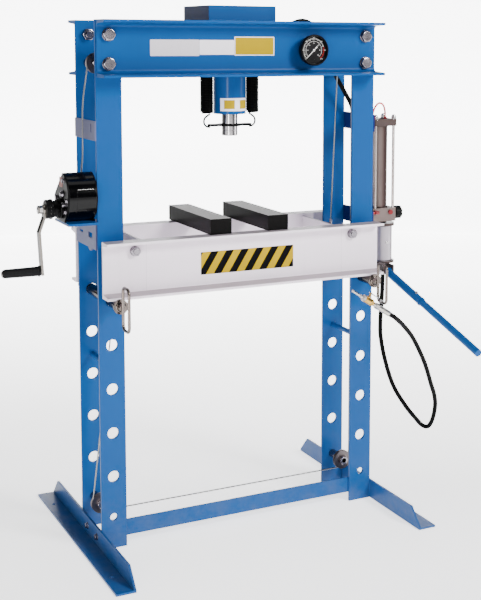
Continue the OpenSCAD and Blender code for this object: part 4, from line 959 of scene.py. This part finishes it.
class PRESS_OT_hoses(bpy.types.Operator):
    """Oil hose with its crimped ends, and the red air tube"""

    bl_idname = "press.hoses"
    bl_label = "Oil hose and red tube"

    def execute(self, context):
        size = context.scene.press_sizes
        path = smooth_path(OIL_ROUTE, 7)
        hose = Skin("oil_hose").add(sweep(path, size.oil_hose / 2, 18))
        r = size.oil_hose / 2
        crimp = [(0.0, r), (0.0, r + 0.0016), (0.001, r + 0.0024)]
        for h in 0.004 + 0.006 * np.arange(5):
            crimp += [(h, r + 0.0024), (h + 0.001, r + 0.0012), (h + 0.002, r + 0.0012), (h + 0.003, r + 0.0024)]
        crimp += [(0.035, r + 0.0024), (0.037, r + 0.0010), (0.037, r - 0.001)]
        for end, inward in ((0, 1), (-1, -2)):
            hose.add(lathe(path[end], path[inward] - path[end], crimp, 32), mark=1)
        hose.make([finish("oil hose rubber"), finish("bolt zinc")], "frame", "black_rubber", ["hydraulic_hose"])
        tube = Skin("red_tube").add(sweep(smooth_path(TUBE_ROUTE, 7), size.tube / 2, 14))
        tube.make([finish("tube red")], "frame", "red_tube", ["air_tube"])
        return {"FINISHED"}


class PRESS_OT_springs(bpy.types.Operator):
    """Two close-coiled return springs"""

    bl_idname = "press.springs"
    bl_label = "Return springs"

    def execute(self, context):
        size = context.scene.press_sizes
        low, high = box("return_springs")
        skin = Skin("spring_coils")
        r = (high[1] - low[1]) / 2 - size.wire / 2 - 0.0002
        for side in (-1, 1):
            centre = side * (high[0] - (high[1] - low[1]) / 2)
            t = np.linspace(0, 1, size.coils * 26)
            a = t * 2 * math.pi * size.coils + math.pi / 2
            pull = np.clip(np.minimum(t, 1 - t) * size.coils / 0.5, 0, 1)
            z = low[2] + size.wire / 2 + t * (high[2] - low[2] - size.wire)
            reach = r * (0.55 + 0.45 * pull)
            path = np.stack([centre + reach * np.cos(a), reach * np.sin(a), z], -1)
            skin.add(sweep(path, size.wire / 2, 10, up=Z))
            cup = 0.0095
            skin.turn((centre, 0, high[2]), -Z, 0.002, [(0, cup), (0.012, cup), (0.016, cup * 0.55)], 24)
            eye = np.linspace(0, math.pi, 24)
            across = centre - side * 0.0045 + 0.0105 * np.cos(eye)
            ring = np.stack([across, 0 * eye, low[2] + 0.003 + 0.010 * np.sin(eye)], -1)
            skin.add(sweep(ring, 0.0026, 10))
        piece = skin.make([finish("coil black")], slot="black_steel", replaces=["return_springs"])
        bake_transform(piece)
        return {"FINISHED"}


class PRESS_OT_ropes(bpy.types.Operator):
    """Laid wire ropes over the pulleys, to the winch and to the bed"""

    bl_idname = "press.ropes"
    bl_label = "Wire ropes"

    def execute(self, context):
        d = context.scene.press_sizes.rope
        low, high = box("bed_rods")
        rod_z = (low[2] + high[2]) / 2
        loop = ROD_R + 0.0003 + d / 2
        top_left, top_right = (-HEAD_X, LOW), (HEAD_X, LOW)
        low_left, low_right = (-HEAD_X, LOW_SHEAVE), (HEAD_X, LOW_SHEAVE)
        rod_left, rod_right = (-ROD_X, rod_z), (ROD_X, rod_z)
        lift_left = tangent(top_left, SHEAVE, 1, rod_left, loop, -1, 1)
        lift_right = tangent(top_right, SHEAVE, -1, rod_right, loop, 1, 1)
        tie = tangent(low_left, SHEAVE, -1, rod_left, loop, 1, -1)
        turn = [math.degrees(math.atan2(n[1], n[0])) for n in (lift_left, lift_right, tie)]
        lead = smooth_path([(-0.518, 0.011, 1.625), (-0.5225, 0.010, 1.598), (-0.531, 0.007, 1.548),
                            (-0.5365, 0.003, 1.497), (-0.539, -0.003, 1.430), (-0.543, -0.012, 1.350),
                            (-0.552, -0.024, 1.290), (-0.560, -0.0522, 1.228)], 6)
        fixed = Skin("rope_runs")
        fixed.add(strand(np.vstack([arc(top_left, NEAR_ROPE, turn[0], 180), lead]), d))
        under = LOW_SHEAVE - SHEAVE
        fixed.add(strand(np.vstack([
            arc(low_left, FAR_ROPE, 180 + turn[2], 270),
            straight((-HEAD_X, FAR_ROPE, under), (HEAD_X, FAR_ROPE, under))[1:-1],
            arc(low_right, FAR_ROPE, -90, 0),
            straight((HEAD_X + SHEAVE, FAR_ROPE, LOW_SHEAVE), (HEAD_X + SHEAVE, FAR_ROPE, LOW))[1:-1],
            arc(top_right, FAR_ROPE, 0, 180 + turn[1])]), d))
        fixed.make([finish("rope")], "frame", "steel", ["ropes_fixed"])
        drum = Skin("drum_winding")
        t = np.linspace(0, 5.5, 200)
        a = t * 2 * math.pi
        wound = np.stack([-0.560 - t * 0.0056, DRUM_Y + DRUM_R * np.cos(a), DRUM_Z + DRUM_R * np.sin(a)], -1)
        drum.add(strand(wound, d))
        drum.make([finish("rope")], "drum", "steel")

        def run(name, centre, y, n, s, other, node):
            """The straight run from a pulley to the loop round a bed rod, touching both on side s of normal n."""
            a = np.array(centre) + s * SHEAVE * n
            b = np.array(other) - s * loop * n
            b = b + 0.0303 * (a - b) / np.linalg.norm(a - b)
            path = straight((a[0], y, a[1]), (b[0], y, b[1]), 0.008)
            piece = Skin(name).add(strand(path, d)).make([finish("rope")], slot="steel", replaces=node)
            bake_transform(piece)

        run("rope_lift_left", top_left, NEAR_ROPE, lift_left, 1, rod_left, ["rope_lifts"])
        run("rope_lift_right", top_right, FAR_ROPE, lift_right, -1, rod_right, [])
        run("rope_tie_run", low_left, FAR_ROPE, tie, -1, rod_left, ["rope_tie"])
        return {"FINISHED"}


class PRESS_OT_fasteners(bpy.types.Operator):
    """Chamfered bolts, nuts, washers and pulley axles of the frame and the bed"""

    bl_idname = "press.fasteners"
    bl_label = "Bolts and nuts"

    def execute(self, context):
        skin = Skin("frame_fasteners")
        for x in (-HEAD_X, HEAD_X):
            for side, z in ((-1, LOW), (-1, HIGH), (1, HIGH)):
                out = side * Y
                inner = (x, side * INNER, z)
                bolt(skin, (x, side * WEB, z), out, 0.037, 0.044, tall=0.014)
                shank(skin, inner, -out, 0.012, -0.014, 0.024, 0.006)
                skin.add(hexagon(inner, -out, 0.037, 0.0, 0.019))
            for z, y, face in ((LOW, NEAR_ROPE if x < 0 else FAR_ROPE, WEB), (LOW_SHEAVE, FAR_ROPE, 0.116)):
                shank(skin, (x, 0, z), Y, ROD_R, y - 0.0193, face + 0.022, 0.006)
                skin.add(hexagon((x, y - 0.0073, z), -Y, 0.030, 0.0, 0.012))
                skin.turn((x, 0, z), Y, 0.011, [(y + 0.0073, 0.0155), (y + 0.0078, 0.016), (INNER - 0.0005, 0.016),
                                                (INNER, 0.0155)], 36)
                bolt(skin, (x, face, z), Y, 0.030, 0.040)
        for side in (-1, 1):
            for y in (-0.082, 0.027):
                bolt(skin, (side * 0.5345, y, 0.037), side * X, 0.017, 0.0246, 0.002, 0.007)
        for z in (1.432, 1.073):
            for y in (-0.020, 0.020):
                bolt(skin, (0.527, y, z), -X, 0.012, 0.0174, 0.002, 0.007)
        for y in (-0.090, -0.004):
            bolt(skin, (-0.588, y, 1.127), -Z, 0.013, 0.0189, 0.002, 0.007)
        skin.make([finish("bolt zinc")], "frame", "zinc", ["frame_bolts", "small_bolts"])

        low, high = box("bed_rods")
        z = (low[2] + high[2]) / 2
        rods = Skin("bed_fasteners")
        for x in (-ROD_X, ROD_X):
            shank(rods, (x, 0, z), Y, ROD_R, low[1], high[1], 0.004)
            for side in (-1, 1):
                bolt(rods, (x, side * 0.157, z), side * Y, 0.030, 0.034)
        rods.make([finish("bolt zinc")], "bed", "zinc", ["bed_rods"])
        return {"FINISHED"}


class PRESS_OT_gauge(bpy.types.Operator):
    """Pressure gauge: rolled bezel, dial with two scales and their numbers, and the needle"""

    bl_idname = "press.gauge"
    bl_label = "Gauge"

    def execute(self, context):
        x, z, y = 0.253, 1.701, box("gauge_case")[0][1]
        case = Skin("gauge_shell")
        case.turn((x, y, z), Y, 0.003, [
            (0.0115, 0.0480), (0.0020, 0.0485), (0.0004, 0.0496), (0.0, 0.0512), (0.0004, 0.0530),
            (0.0020, 0.0545), (0.0045, 0.0550), (0.0085, 0.0549), (0.0105, 0.0541), (0.0115, 0.0530),
            (0.0125, 0.0527), (0.026, 0.0524), (0.029, 0.0508), (0.031, 0.0478), (0.032, 0.043), (0.032, 0.018),
            (0.050, 0.0178), (0.050, 0.010), (0.078, 0.0098)], 72)
        case.add(hexagon((x, -0.116, z), Y, 0.030, 0.0, 0.012), mark=1)
        case.make([finish("black dip"), finish("bolt zinc")], "frame", "black_steel", ["gauge_case"])

        face = y + 0.0112
        dial = Skin("gauge_dial")
        dial.turn((x, face, z), Y, 0.0015, [(0.0, 0.0478), (0.0003, 0.0478)], 64)
        dial.make([finish("dial")], "frame", "black_steel")

        marks = Skin("gauge_marks")
        top = face - 0.00025

        def tick(angle, near, far, wide, mark):
            """A bar on the dial at an angle clockwise from the top, between two radii."""
            way = np.array([math.sin(angle), 0, math.cos(angle)])
            across = np.array([math.cos(angle), 0, -math.sin(angle)]) * wide / 2
            at = np.array([x, top, z])
            rows = [[at + r * way - across, at + r * way + across] for r in (near, far)]
            marks.add(rows, around=False, ends=False, mark=mark, toward=-Y)

        first, span = math.radians(-135), math.radians(270)
        for steps, fine, coarse, far, wide, red in ((60, 0.0375, 0.0352, 0.0400, 0.0005, 46),
                                                    (30, 0.0290, 0.0272, 0.0308, 0.0004, 30)):
            for k in range(steps + 1):
                tick(first + span * k / steps, fine if k % 5 else coarse, far, wide if k % 5 else 2 * wide,
                     1 if k > red else 0)
        for start, stop, r, mark in ((-135, 72, 0.0403, 0), (72, 135, 0.0403, 1), (-135, 135, 0.0312, 0)):
            a = np.radians(np.linspace(start, stop, 60))
            rim = [np.stack([x + q * np.sin(a), np.full(60, top), z + q * np.cos(a)], -1) for q in (r, r + 0.0007)]
            marks.add(rim, around=False, ends=False, mark=mark, toward=-Y)
        marks.make([finish("ink white"), finish("ink red")], "frame", "black_steel")

        shapes = []
        for k in range(7):
            a = math.radians(-135 + 45 * k)
            for text, r, size in ((str(k * 100), 0.0440, 0.0042), (str(k * 10), 0.0237, 0.0040)):
                line = bpy.data.curves.new("number", "FONT")
                line.body, line.size, line.align_x, line.align_y = text, size * 1.25, "CENTER", "CENTER"
                number = bpy.data.objects.new("number", line)
                context.scene.collection.objects.link(number)
                number.matrix_world = Matrix.Translation((x + r * math.sin(a), top, z + r * math.cos(a))) @ (
                    Matrix.Rotation(math.pi / 2, 4, "X"))
                shapes.append(number)
        context.view_layer.update()
        points, faces, count = [], [], 0
        for number in shapes:
            flat = number.to_mesh()
            flat.transform(number.matrix_world)
            points += [tuple(v.co) for v in flat.vertices]
            faces += [[count + k for k in p.vertices] for p in flat.polygons]
            count += len(flat.vertices)
            number.to_mesh_clear()
            curve = number.data
            bpy.data.objects.remove(number)
            bpy.data.curves.remove(curve)
        mesh = bpy.data.meshes.new("gauge_numbers")
        mesh.from_pydata(points, [], faces)
        mesh.materials.append(finish("ink white"))
        numbers = bpy.data.objects.new("gauge_numbers", mesh)
        context.scene.collection.objects.link(numbers)
        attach(numbers, "frame")

        hand = Skin("gauge_hand")
        way = np.array([-1, 0, -1]) / math.sqrt(2)
        across = np.array([1, 0, -1]) / math.sqrt(2)
        s = np.array([-0.0175, -0.014, -0.006, 0.0, 0.012, 0.028, 0.0405, 0.0415])
        w = np.array([0.0016, 0.0024, 0.0013, 0.0015, 0.0011, 0.0008, 0.0005, 0.0001])
        mid = np.array([x, y + 0.0083, z]) + s[:, None] * way
        corners = ((1, -1), (-1, -1), (-1, 1), (1, 1))
        hand.add(np.stack([mid + i * w[:, None] * across + j * 0.0004 * Y for i, j in corners], 1))
        hand.turn((x, y + 0.0100, z), -Y, 0.001, [(0, 0.0050), (0.0018, 0.0050), (0.0026, 0.0042), (0.0029, 0.0025)],
                  32, mark=1)
        hand.make([finish("ink white"), finish("chrome")], "needle", "red_fitting", ["gauge_needle"])
        return {"FINISHED"}


class PRESS_OT_labels(bpy.types.Operator):
    """Bare name plates: three on the head beam, one on the cylinder, one on the winch"""

    bl_idname = "press.labels"
    bl_label = "Bare labels"

    def execute(self, context):
        y = -WEB
        beam = Skin("beam_labels")
        for x0, x1, z0, z1, mark in ((-0.341, -0.165, 1.6805, 1.7355, 0), (-0.1645, -0.036, 1.6845, 1.7350, 1),
                                     (-0.0355, 0.117, 1.6815, 1.7470, 1)):
            beam.add(tablet((x0, y - 0.0005, z0), (x1, y, z1), 1, 0.003, 0.0002), mark=mark)
        beam.add(tablet((-0.0320, y - 0.0007, 1.6850), (0.1135, y - 0.0004, 1.7435), 1, 0.002, 0.0001), mark=2)
        beam.make([finish("label silver"), finish("label white"), finish("label yellow")], "frame", "pale_paint")

        r = 0.0579
        wrap = Skin("cylinder_label")

        def patch(a0, a1, z0, z1, out, mark):
            """A patch of a cylinder: (r sin a, -r cos a, z), between two angles from the front and two heights."""
            a = np.radians(np.linspace(a0, a1, 24))
            rows = [np.stack([(r + out) * np.sin(a), -(r + out) * np.cos(a), np.full(24, h)], -1) for h in (z0, z1)]
            wrap.add(rows, around=False, ends=False, mark=mark, toward=-Y)

        patch(-58, 62, 1.485, 1.531, 0.0, 0)
        patch(-43, -5, 1.493, 1.524, 0.0003, 1)
        patch(15, 53, 1.493, 1.524, 0.0003, 1)
        wrap.make([finish("label white"), finish("label yellow")], "frame", "pale_paint")

        side = Skin("winch_label")
        x = box("winch_plates")[0][0]
        side.add(tablet((x - 0.0006, -0.080, 1.250), (x, -0.042, 1.283), 0, 0.003, 0.0002))
        side.make([finish("label pink")], "frame", "black_steel")
        return {"FINISHED"}


class PRESS_OT_winch(bpy.types.Operator):
    """Winch trim: plate bolts, the cover's lip, a bright steel strip on the cover as a painted highlight, the crank's
    ratchet and hub, its nut, and the ribbed grip
    """

    bl_idname = "press.winch"
    bl_label = "Winch trim"

    def execute(self, context):
        x = box("winch_plates")[0][0]
        trim = Skin("winch_trim")
        for y, z in ((-0.130, 1.210), (-0.015, 1.210), (-0.092, 1.274), (-0.112, 1.172)):
            bolt(trim, (x, y, z), -X, 0.013, 0.018, 0.0015, 0.006)
        trim.turn((x, DRUM_Y, DRUM_Z), -X, 0.002,
                  [(0, 0.014), (0.002, 0.0145), (0.003, 0.012), (0.008, 0.0095), (0.0095, 0.007)], 32)
        trim.turn((x, -0.108, 1.196), -X, 0.002, [(0, 0.008), (0.010, 0.008), (0.012, 0.006)], 24)
        trim.make([finish("bolt zinc")], "frame", "zinc")

        low, high = box("winch_cover")
        lip = Skin("cover_lip_and_highlight_strip")
        lean = np.linspace(math.radians(22), math.radians(-38), 24)
        curve, out = 0.082, 0.0815
        middle = np.array([0.0, low[1] + curve, high[2] - curve])
        ring = middle + np.stack([0 * lean, -out * np.cos(lean), out * np.sin(lean)], -1)
        lip.add(sweep(ring + X * (low[0] + 0.026), 0.0012, 8))
        # Painted highlight: a thin bright steel strip along the cover, where the lamp's highlight line falls.
        highlight_strip = ring[0] + np.array([[low[0] + 0.028, 0, 0], [high[0] - 0.008, 0, 0]])
        lip.add(sweep(highlight_strip, 0.0014, 8), mark=1)
        lip.make([finish("cover gloss"), finish("lever steel")], "frame", "black_steel")

        hub = Skin("crank_clutch")
        for rim, sides, wave in (
                ([(0.0004, 0.0340), (0.0020, 0.0348), (0.0070, 0.0348), (0.0092, 0.0334)], 64, None),
                ([(0.0096, 0.0325), (0.0166, 0.0325)], 96, lambda a: 1 - 0.16 * ((a * 12 / (2 * math.pi)) % 1)),
                ([(0.0170, 0.0285), (0.026, 0.0280), (0.0308, 0.0262)], 64, None),
                ([(0.0312, 0.0318), (0.0325, 0.0328), (0.0395, 0.0328), (0.0410, 0.0318)], 96,
                 lambda a: 1 + 0.035 * np.cos(a * 8)),
                ([(0.0414, 0.0318), (0.0500, 0.0318), (0.0542, 0.0314), (0.0546, 0.0290)], 64, None)):
            hub.turn((x - 0.0003, CRANK_Y, CRANK_Z), -X, 0.010, rim, sides, wave=wave)
        hub.make([finish("black dip")], "crank", "black_steel")

        arm = Skin("crank_nut")
        tip = -0.6943
        arm.add(hexagon((tip - 0.0002, CRANK_Y, CRANK_Z), -X, 0.0245, 0.0, 0.011))
        arm.add(lathe((tip - 0.011, CRANK_Y, CRANK_Z), -X, [(0, 0.002), (0, 0.0105), (0.003, 0.0100), (0.006, 0.0080),
                                                            (0.0076, 0.005), (0.0080, 0.002)], 32))
        arm.make([finish("chrome")], "crank", "zinc")

        low, high = box("crank_grip")
        z = (low[2] + high[2]) / 2
        h = np.linspace(0, high[0] - low[0], 90)
        t = h / h[-1]
        r = 0.0150 + 0.0012 * t - 0.0022 * np.exp(-((t - 0.02) / 0.03) ** 2) + 0.0002 * np.sin(h * 2 * math.pi / 0.012)
        r += 0.0024 * np.clip((t - 0.955) / 0.01, 0, 1)
        r = np.minimum(r, 0.019)
        rim = [(0.0, r[0] * 0.82), *zip(h[1:-1], r[1:-1]), (h[-1], r[-1] * 0.93)]
        grip = Skin("grip_sleeve")
        grip.turn((low[0], CRANK_Y, z), X, 0.0048, rim, 36, wave=lambda a: 1 + 0.018 * np.cos(a * 12))
        grip.make([finish("grip black")], "grip", "black_plastic", ["crank_grip"])
        return {"FINISHED"}


class PRESS_OT_pump(bpy.types.Operator):
    """Pump trim: acorn nuts, the tank's rings and plug, the barrel's rings, the block's screws and the knob's face"""

    bl_idname = "press.pump"
    bl_label = "Pump trim"

    def execute(self, context):
        cap = box("pump_cap")[1][2]
        nuts = Skin("acorn_nuts")
        for x in (-0.0395, 0.0395):
            for y in (-0.0395, 0.0395):
                at = (PUMP_X + x, y, cap)
                nuts.turn(at, Z, 0.004, [(0, 0.0112), (0.0012, 0.0112)], 32)
                nuts.add(hexagon(at, Z, 0.0185, 0.0011, 0.0095))
                turn = np.linspace(0, math.pi / 2, 12)
                dome = [(0.009 + 0.0085 * math.sin(t), 0.0082 * math.cos(t) + 0.0003) for t in turn]
                nuts.add(lathe(at, Z, [(0.009, 0.001)] + dome, 32))
        nuts.make([finish("chrome")], "frame", "zinc")

        low, high = box("pump_tank")
        cx = (low[0] + high[0]) / 2
        rings = Skin("tank_trim")
        for z in (low[2] + 0.0095, high[2] - 0.0115):
            rings.turn((cx, 0, z), Z, 0.039, [(-0.0012, 0.0412), (0.0012, 0.0412)], 64)
        wide = (high[1] - low[1]) / 2
        for z, tall in ((low[2], 0.009), (high[2] - 0.011, 0.011)):
            rings.turn((cx, 0, z), Z, wide - 0.001, [(0.0004, wide + 0.0003), (tall - 0.0004, wide + 0.0003)], 72, 2)
        rings.turn((cx, 0, high[2]), Z, 0.016, [(0, 0.0186), (0.0025, 0.0186)], 48)
        rings.add(lathe((cx, 0, low[2] + 0.080), -Y, [(0.0395, 0.002), (0.0395, 0.0048), (0.0420, 0.0046),
                                                      (0.0432, 0.0030), (0.0432, 0.001)], 24), mark=1)
        rings.make([finish("black hole"), finish("chrome"), finish("cast alloy")], "frame", "black_plastic")

        collar = Skin("barrel_rings")
        base = box("valve_block")[1][2]
        for z in (base, cap - 0.026 - 0.0035):
            collar.turn((PUMP_X, 0, z), Z, 0.029,
                        [(0, 0.0335), (0.0008, 0.0340), (0.0028, 0.0340), (0.0035, 0.0333)], 56)
        for y, z in ((-0.030, 1.058), (0.030, 1.058), (-0.030, 1.091), (0.030, 1.091)):
            collar.turn((0.671, y, z), X, 0.001,
                        [(0, 0.0048), (0.004, 0.0048), (0.0046, 0.0042), (0.0046, 0.0026), (0.0022, 0.0024)], 24)
        collar.make([finish("cast alloy")], "frame", "cast_alloy")

        knob = Skin("knob_face")
        knob.turn((box("release_knob")[1][0], 0, 1.075), X, 0.001,
                  [(0, 0.0125), (0.0010, 0.0120), (0.0012, 0.0105), (0.0004, 0.0095)], 40)
        knob.make([finish("knob black")], "knob", "black_plastic")
        return {"FINISHED"}


class PRESS_OT_lever(bpy.types.Operator):
    """Lever trim: the socket's rolled mouth, its clamp screw, and a black disc in the open tube end as painted shade"""

    bl_idname = "press.lever"
    bl_label = "Lever trim"

    def execute(self, context):
        fall = math.radians(16.3)
        way = np.array([0, -math.cos(fall), -math.sin(fall)])
        root = np.array([PUMP_X, -0.070, 0.861])
        trim = Skin("lever_rings")
        trim.add(lathe(root, way, [(0.2475, 0.0135), (0.2475, 0.0152), (0.2490, 0.0162), (0.2545, 0.0162),
                                   (0.2560, 0.0150), (0.2560, 0.0128)], 48))
        trim.add(lathe(root, way, [(0.628, 0.0124), (0.628, 0.0129), (0.6315, 0.0129), (0.6320, 0.0124),
                                   (0.6320, 0.0108), (0.6290, 0.0104), (0.6290, 0.002)], 48))
        trim.make([finish("lever enamel")], "lever", "blue_paint")
        # Painted shade: a black disc just inside the open tube end.
        end = Skin("lever_bore_shade_disc")
        end.turn(root, way, 0.001, [(0.6312, 0.0106), (0.6319, 0.0106)], 40)
        end.make([finish("black hole")], "lever", "blue_paint")
        screw = Skin("lever_screw")
        top = np.array([0, -math.sin(fall), math.cos(fall)])
        screw.add(hexagon(root + 0.215 * way, top, 0.010, 0.0146, 0.0205))
        screw.make([finish("bolt zinc")], "lever", "zinc")
        return {"FINISHED"}


class PRESS_OT_welds(bpy.types.Operator):
    """Weld beads: the posts, feet and rail, the block in the head, the bed's cross plates and the pins' loops"""

    bl_idname = "press.welds"
    bl_label = "Weld beads"

    def execute(self, context):
        r = context.scene.press_sizes.bead
        skin = Skin("frame_welds")
        for s in (-1, 1):
            for q in (-1, 1):
                bead(skin, (s * 0.5275, q * 0.1160, 0.010), (s * 0.5275, q * 0.1160, 0.066), r * 0.8)
                bead(skin, (s * POST - 0.012, q * INNER, 0.6395), (s * POST + 0.012, q * INNER, 0.6395), r * 0.7)
        low, high = box("top_block")
        for q in (-1, 1):
            for y, z, thick in ((q * 0.1165, BLOCK_TOP, r), (q * 0.1150, 1.6400, r * 0.7)):
                bead(skin, (low[0] + 0.004, y, z), (high[0] - 0.004, y, z), thick)
        for s in (-1, 1):
            for q in (-1, 1):
                bead(skin, (s * 0.1265, q * 0.112, BLOCK_TOP), (s * 0.1265, q * 0.070, BLOCK_TOP), r * 0.8)
            bead(skin, (s * 0.4378, -INNER, 0.036), (s * 0.4378, -INNER, 0.088), r * 0.7)
        skin.make([finish("weld")], "frame", "blue_paint")

        low, high = box("bed_plates")
        bed = Skin("bed_welds")
        for s in (-1, 1):
            for q in (-1, 1):
                for x in (0.3688, 0.3772):
                    bead(bed, (s * x, q * 0.1488, low[2] + 0.012), (s * x, q * 0.1488, high[2] - 0.010), r * 0.8)
        bed.make([finish("bed weld")], "bed", "pale_paint")

        hole_top, hole_foot = 0.88065, 0.84265
        for s, body in ((-1, "left_pin"), (1, "right_pin")):
            ring = Skin(body + "_weld")
            ring.turn((s * POST, -0.2160, (hole_foot + hole_top) / 2), -Y, 0.012,
                      [(-0.0004, 0.0182), (0.0012, 0.0180), (0.0026, 0.0166), (0.0034, 0.0150)], 60,
                      wave=lambda a: 1 + 0.02 * np.sin(a * 22))
            ring.make([finish("pin steel")], body, "steel")
        return {"FINISHED"}


class PRESS_OT_sawn_ends(bpy.types.Operator):
    """Bare sawn steel on both ends of the top block"""

    bl_idname = "press.sawn_ends"
    bl_label = "Sawn ends"

    def execute(self, context):
        low, high = box("top_block")
        skin = Skin("block_end")
        for x in (low[0] - 0.0003, high[0]):
            skin.add(tablet((x, -0.1145, 1.8025), (x + 0.0003, 0.1145, high[2] - 0.0012), 0, 0.0015, 0.0001))
        skin.make([finish("block saw")], "frame", "blue_paint")
        return {"FINISHED"}


class PRESS_PT_panel(bpy.types.Panel):
    """The press's pieces, in the order in which they are made"""

    bl_label = "Workshop press"
    bl_idname = "PRESS_PT_panel"
    bl_space_type = "VIEW_3D"
    bl_region_type = "UI"
    bl_category = "Press"

    def draw(self, context):
        for group in (context.scene.press_look, context.scene.press_sizes):
            for name in group.__annotations__:
                self.layout.prop(group, name)
        for step in STEPS:
            self.layout.operator(step.bl_idname)


STEPS = (PRESS_OT_stage, PRESS_OT_air_hose, PRESS_OT_hoses, PRESS_OT_carried, PRESS_OT_springs, PRESS_OT_ropes,
         PRESS_OT_fasteners, PRESS_OT_gauge, PRESS_OT_labels, PRESS_OT_winch, PRESS_OT_pump, PRESS_OT_lever,
         PRESS_OT_welds, PRESS_OT_sawn_ends)
CLASSES = (PressLook, PressSizes, *STEPS, PRESS_PT_panel)


def register():
    for cls in CLASSES:
        bpy.utils.register_class(cls)
    bpy.types.Scene.press_look = PointerProperty(type=PressLook)
    bpy.types.Scene.press_sizes = PointerProperty(type=PressSizes)


def unregister():
    del bpy.types.Scene.press_look
    del bpy.types.Scene.press_sizes
    for cls in reversed(CLASSES):
        bpy.utils.unregister_class(cls)


def main():
    """Makes every piece in order."""
    register()
    for step in STEPS:
        group, name = step.bl_idname.split(".")
        getattr(getattr(bpy.ops, group), name)()
    bpy.context.view_layer.update()


if __name__ == "__main__":
    main()
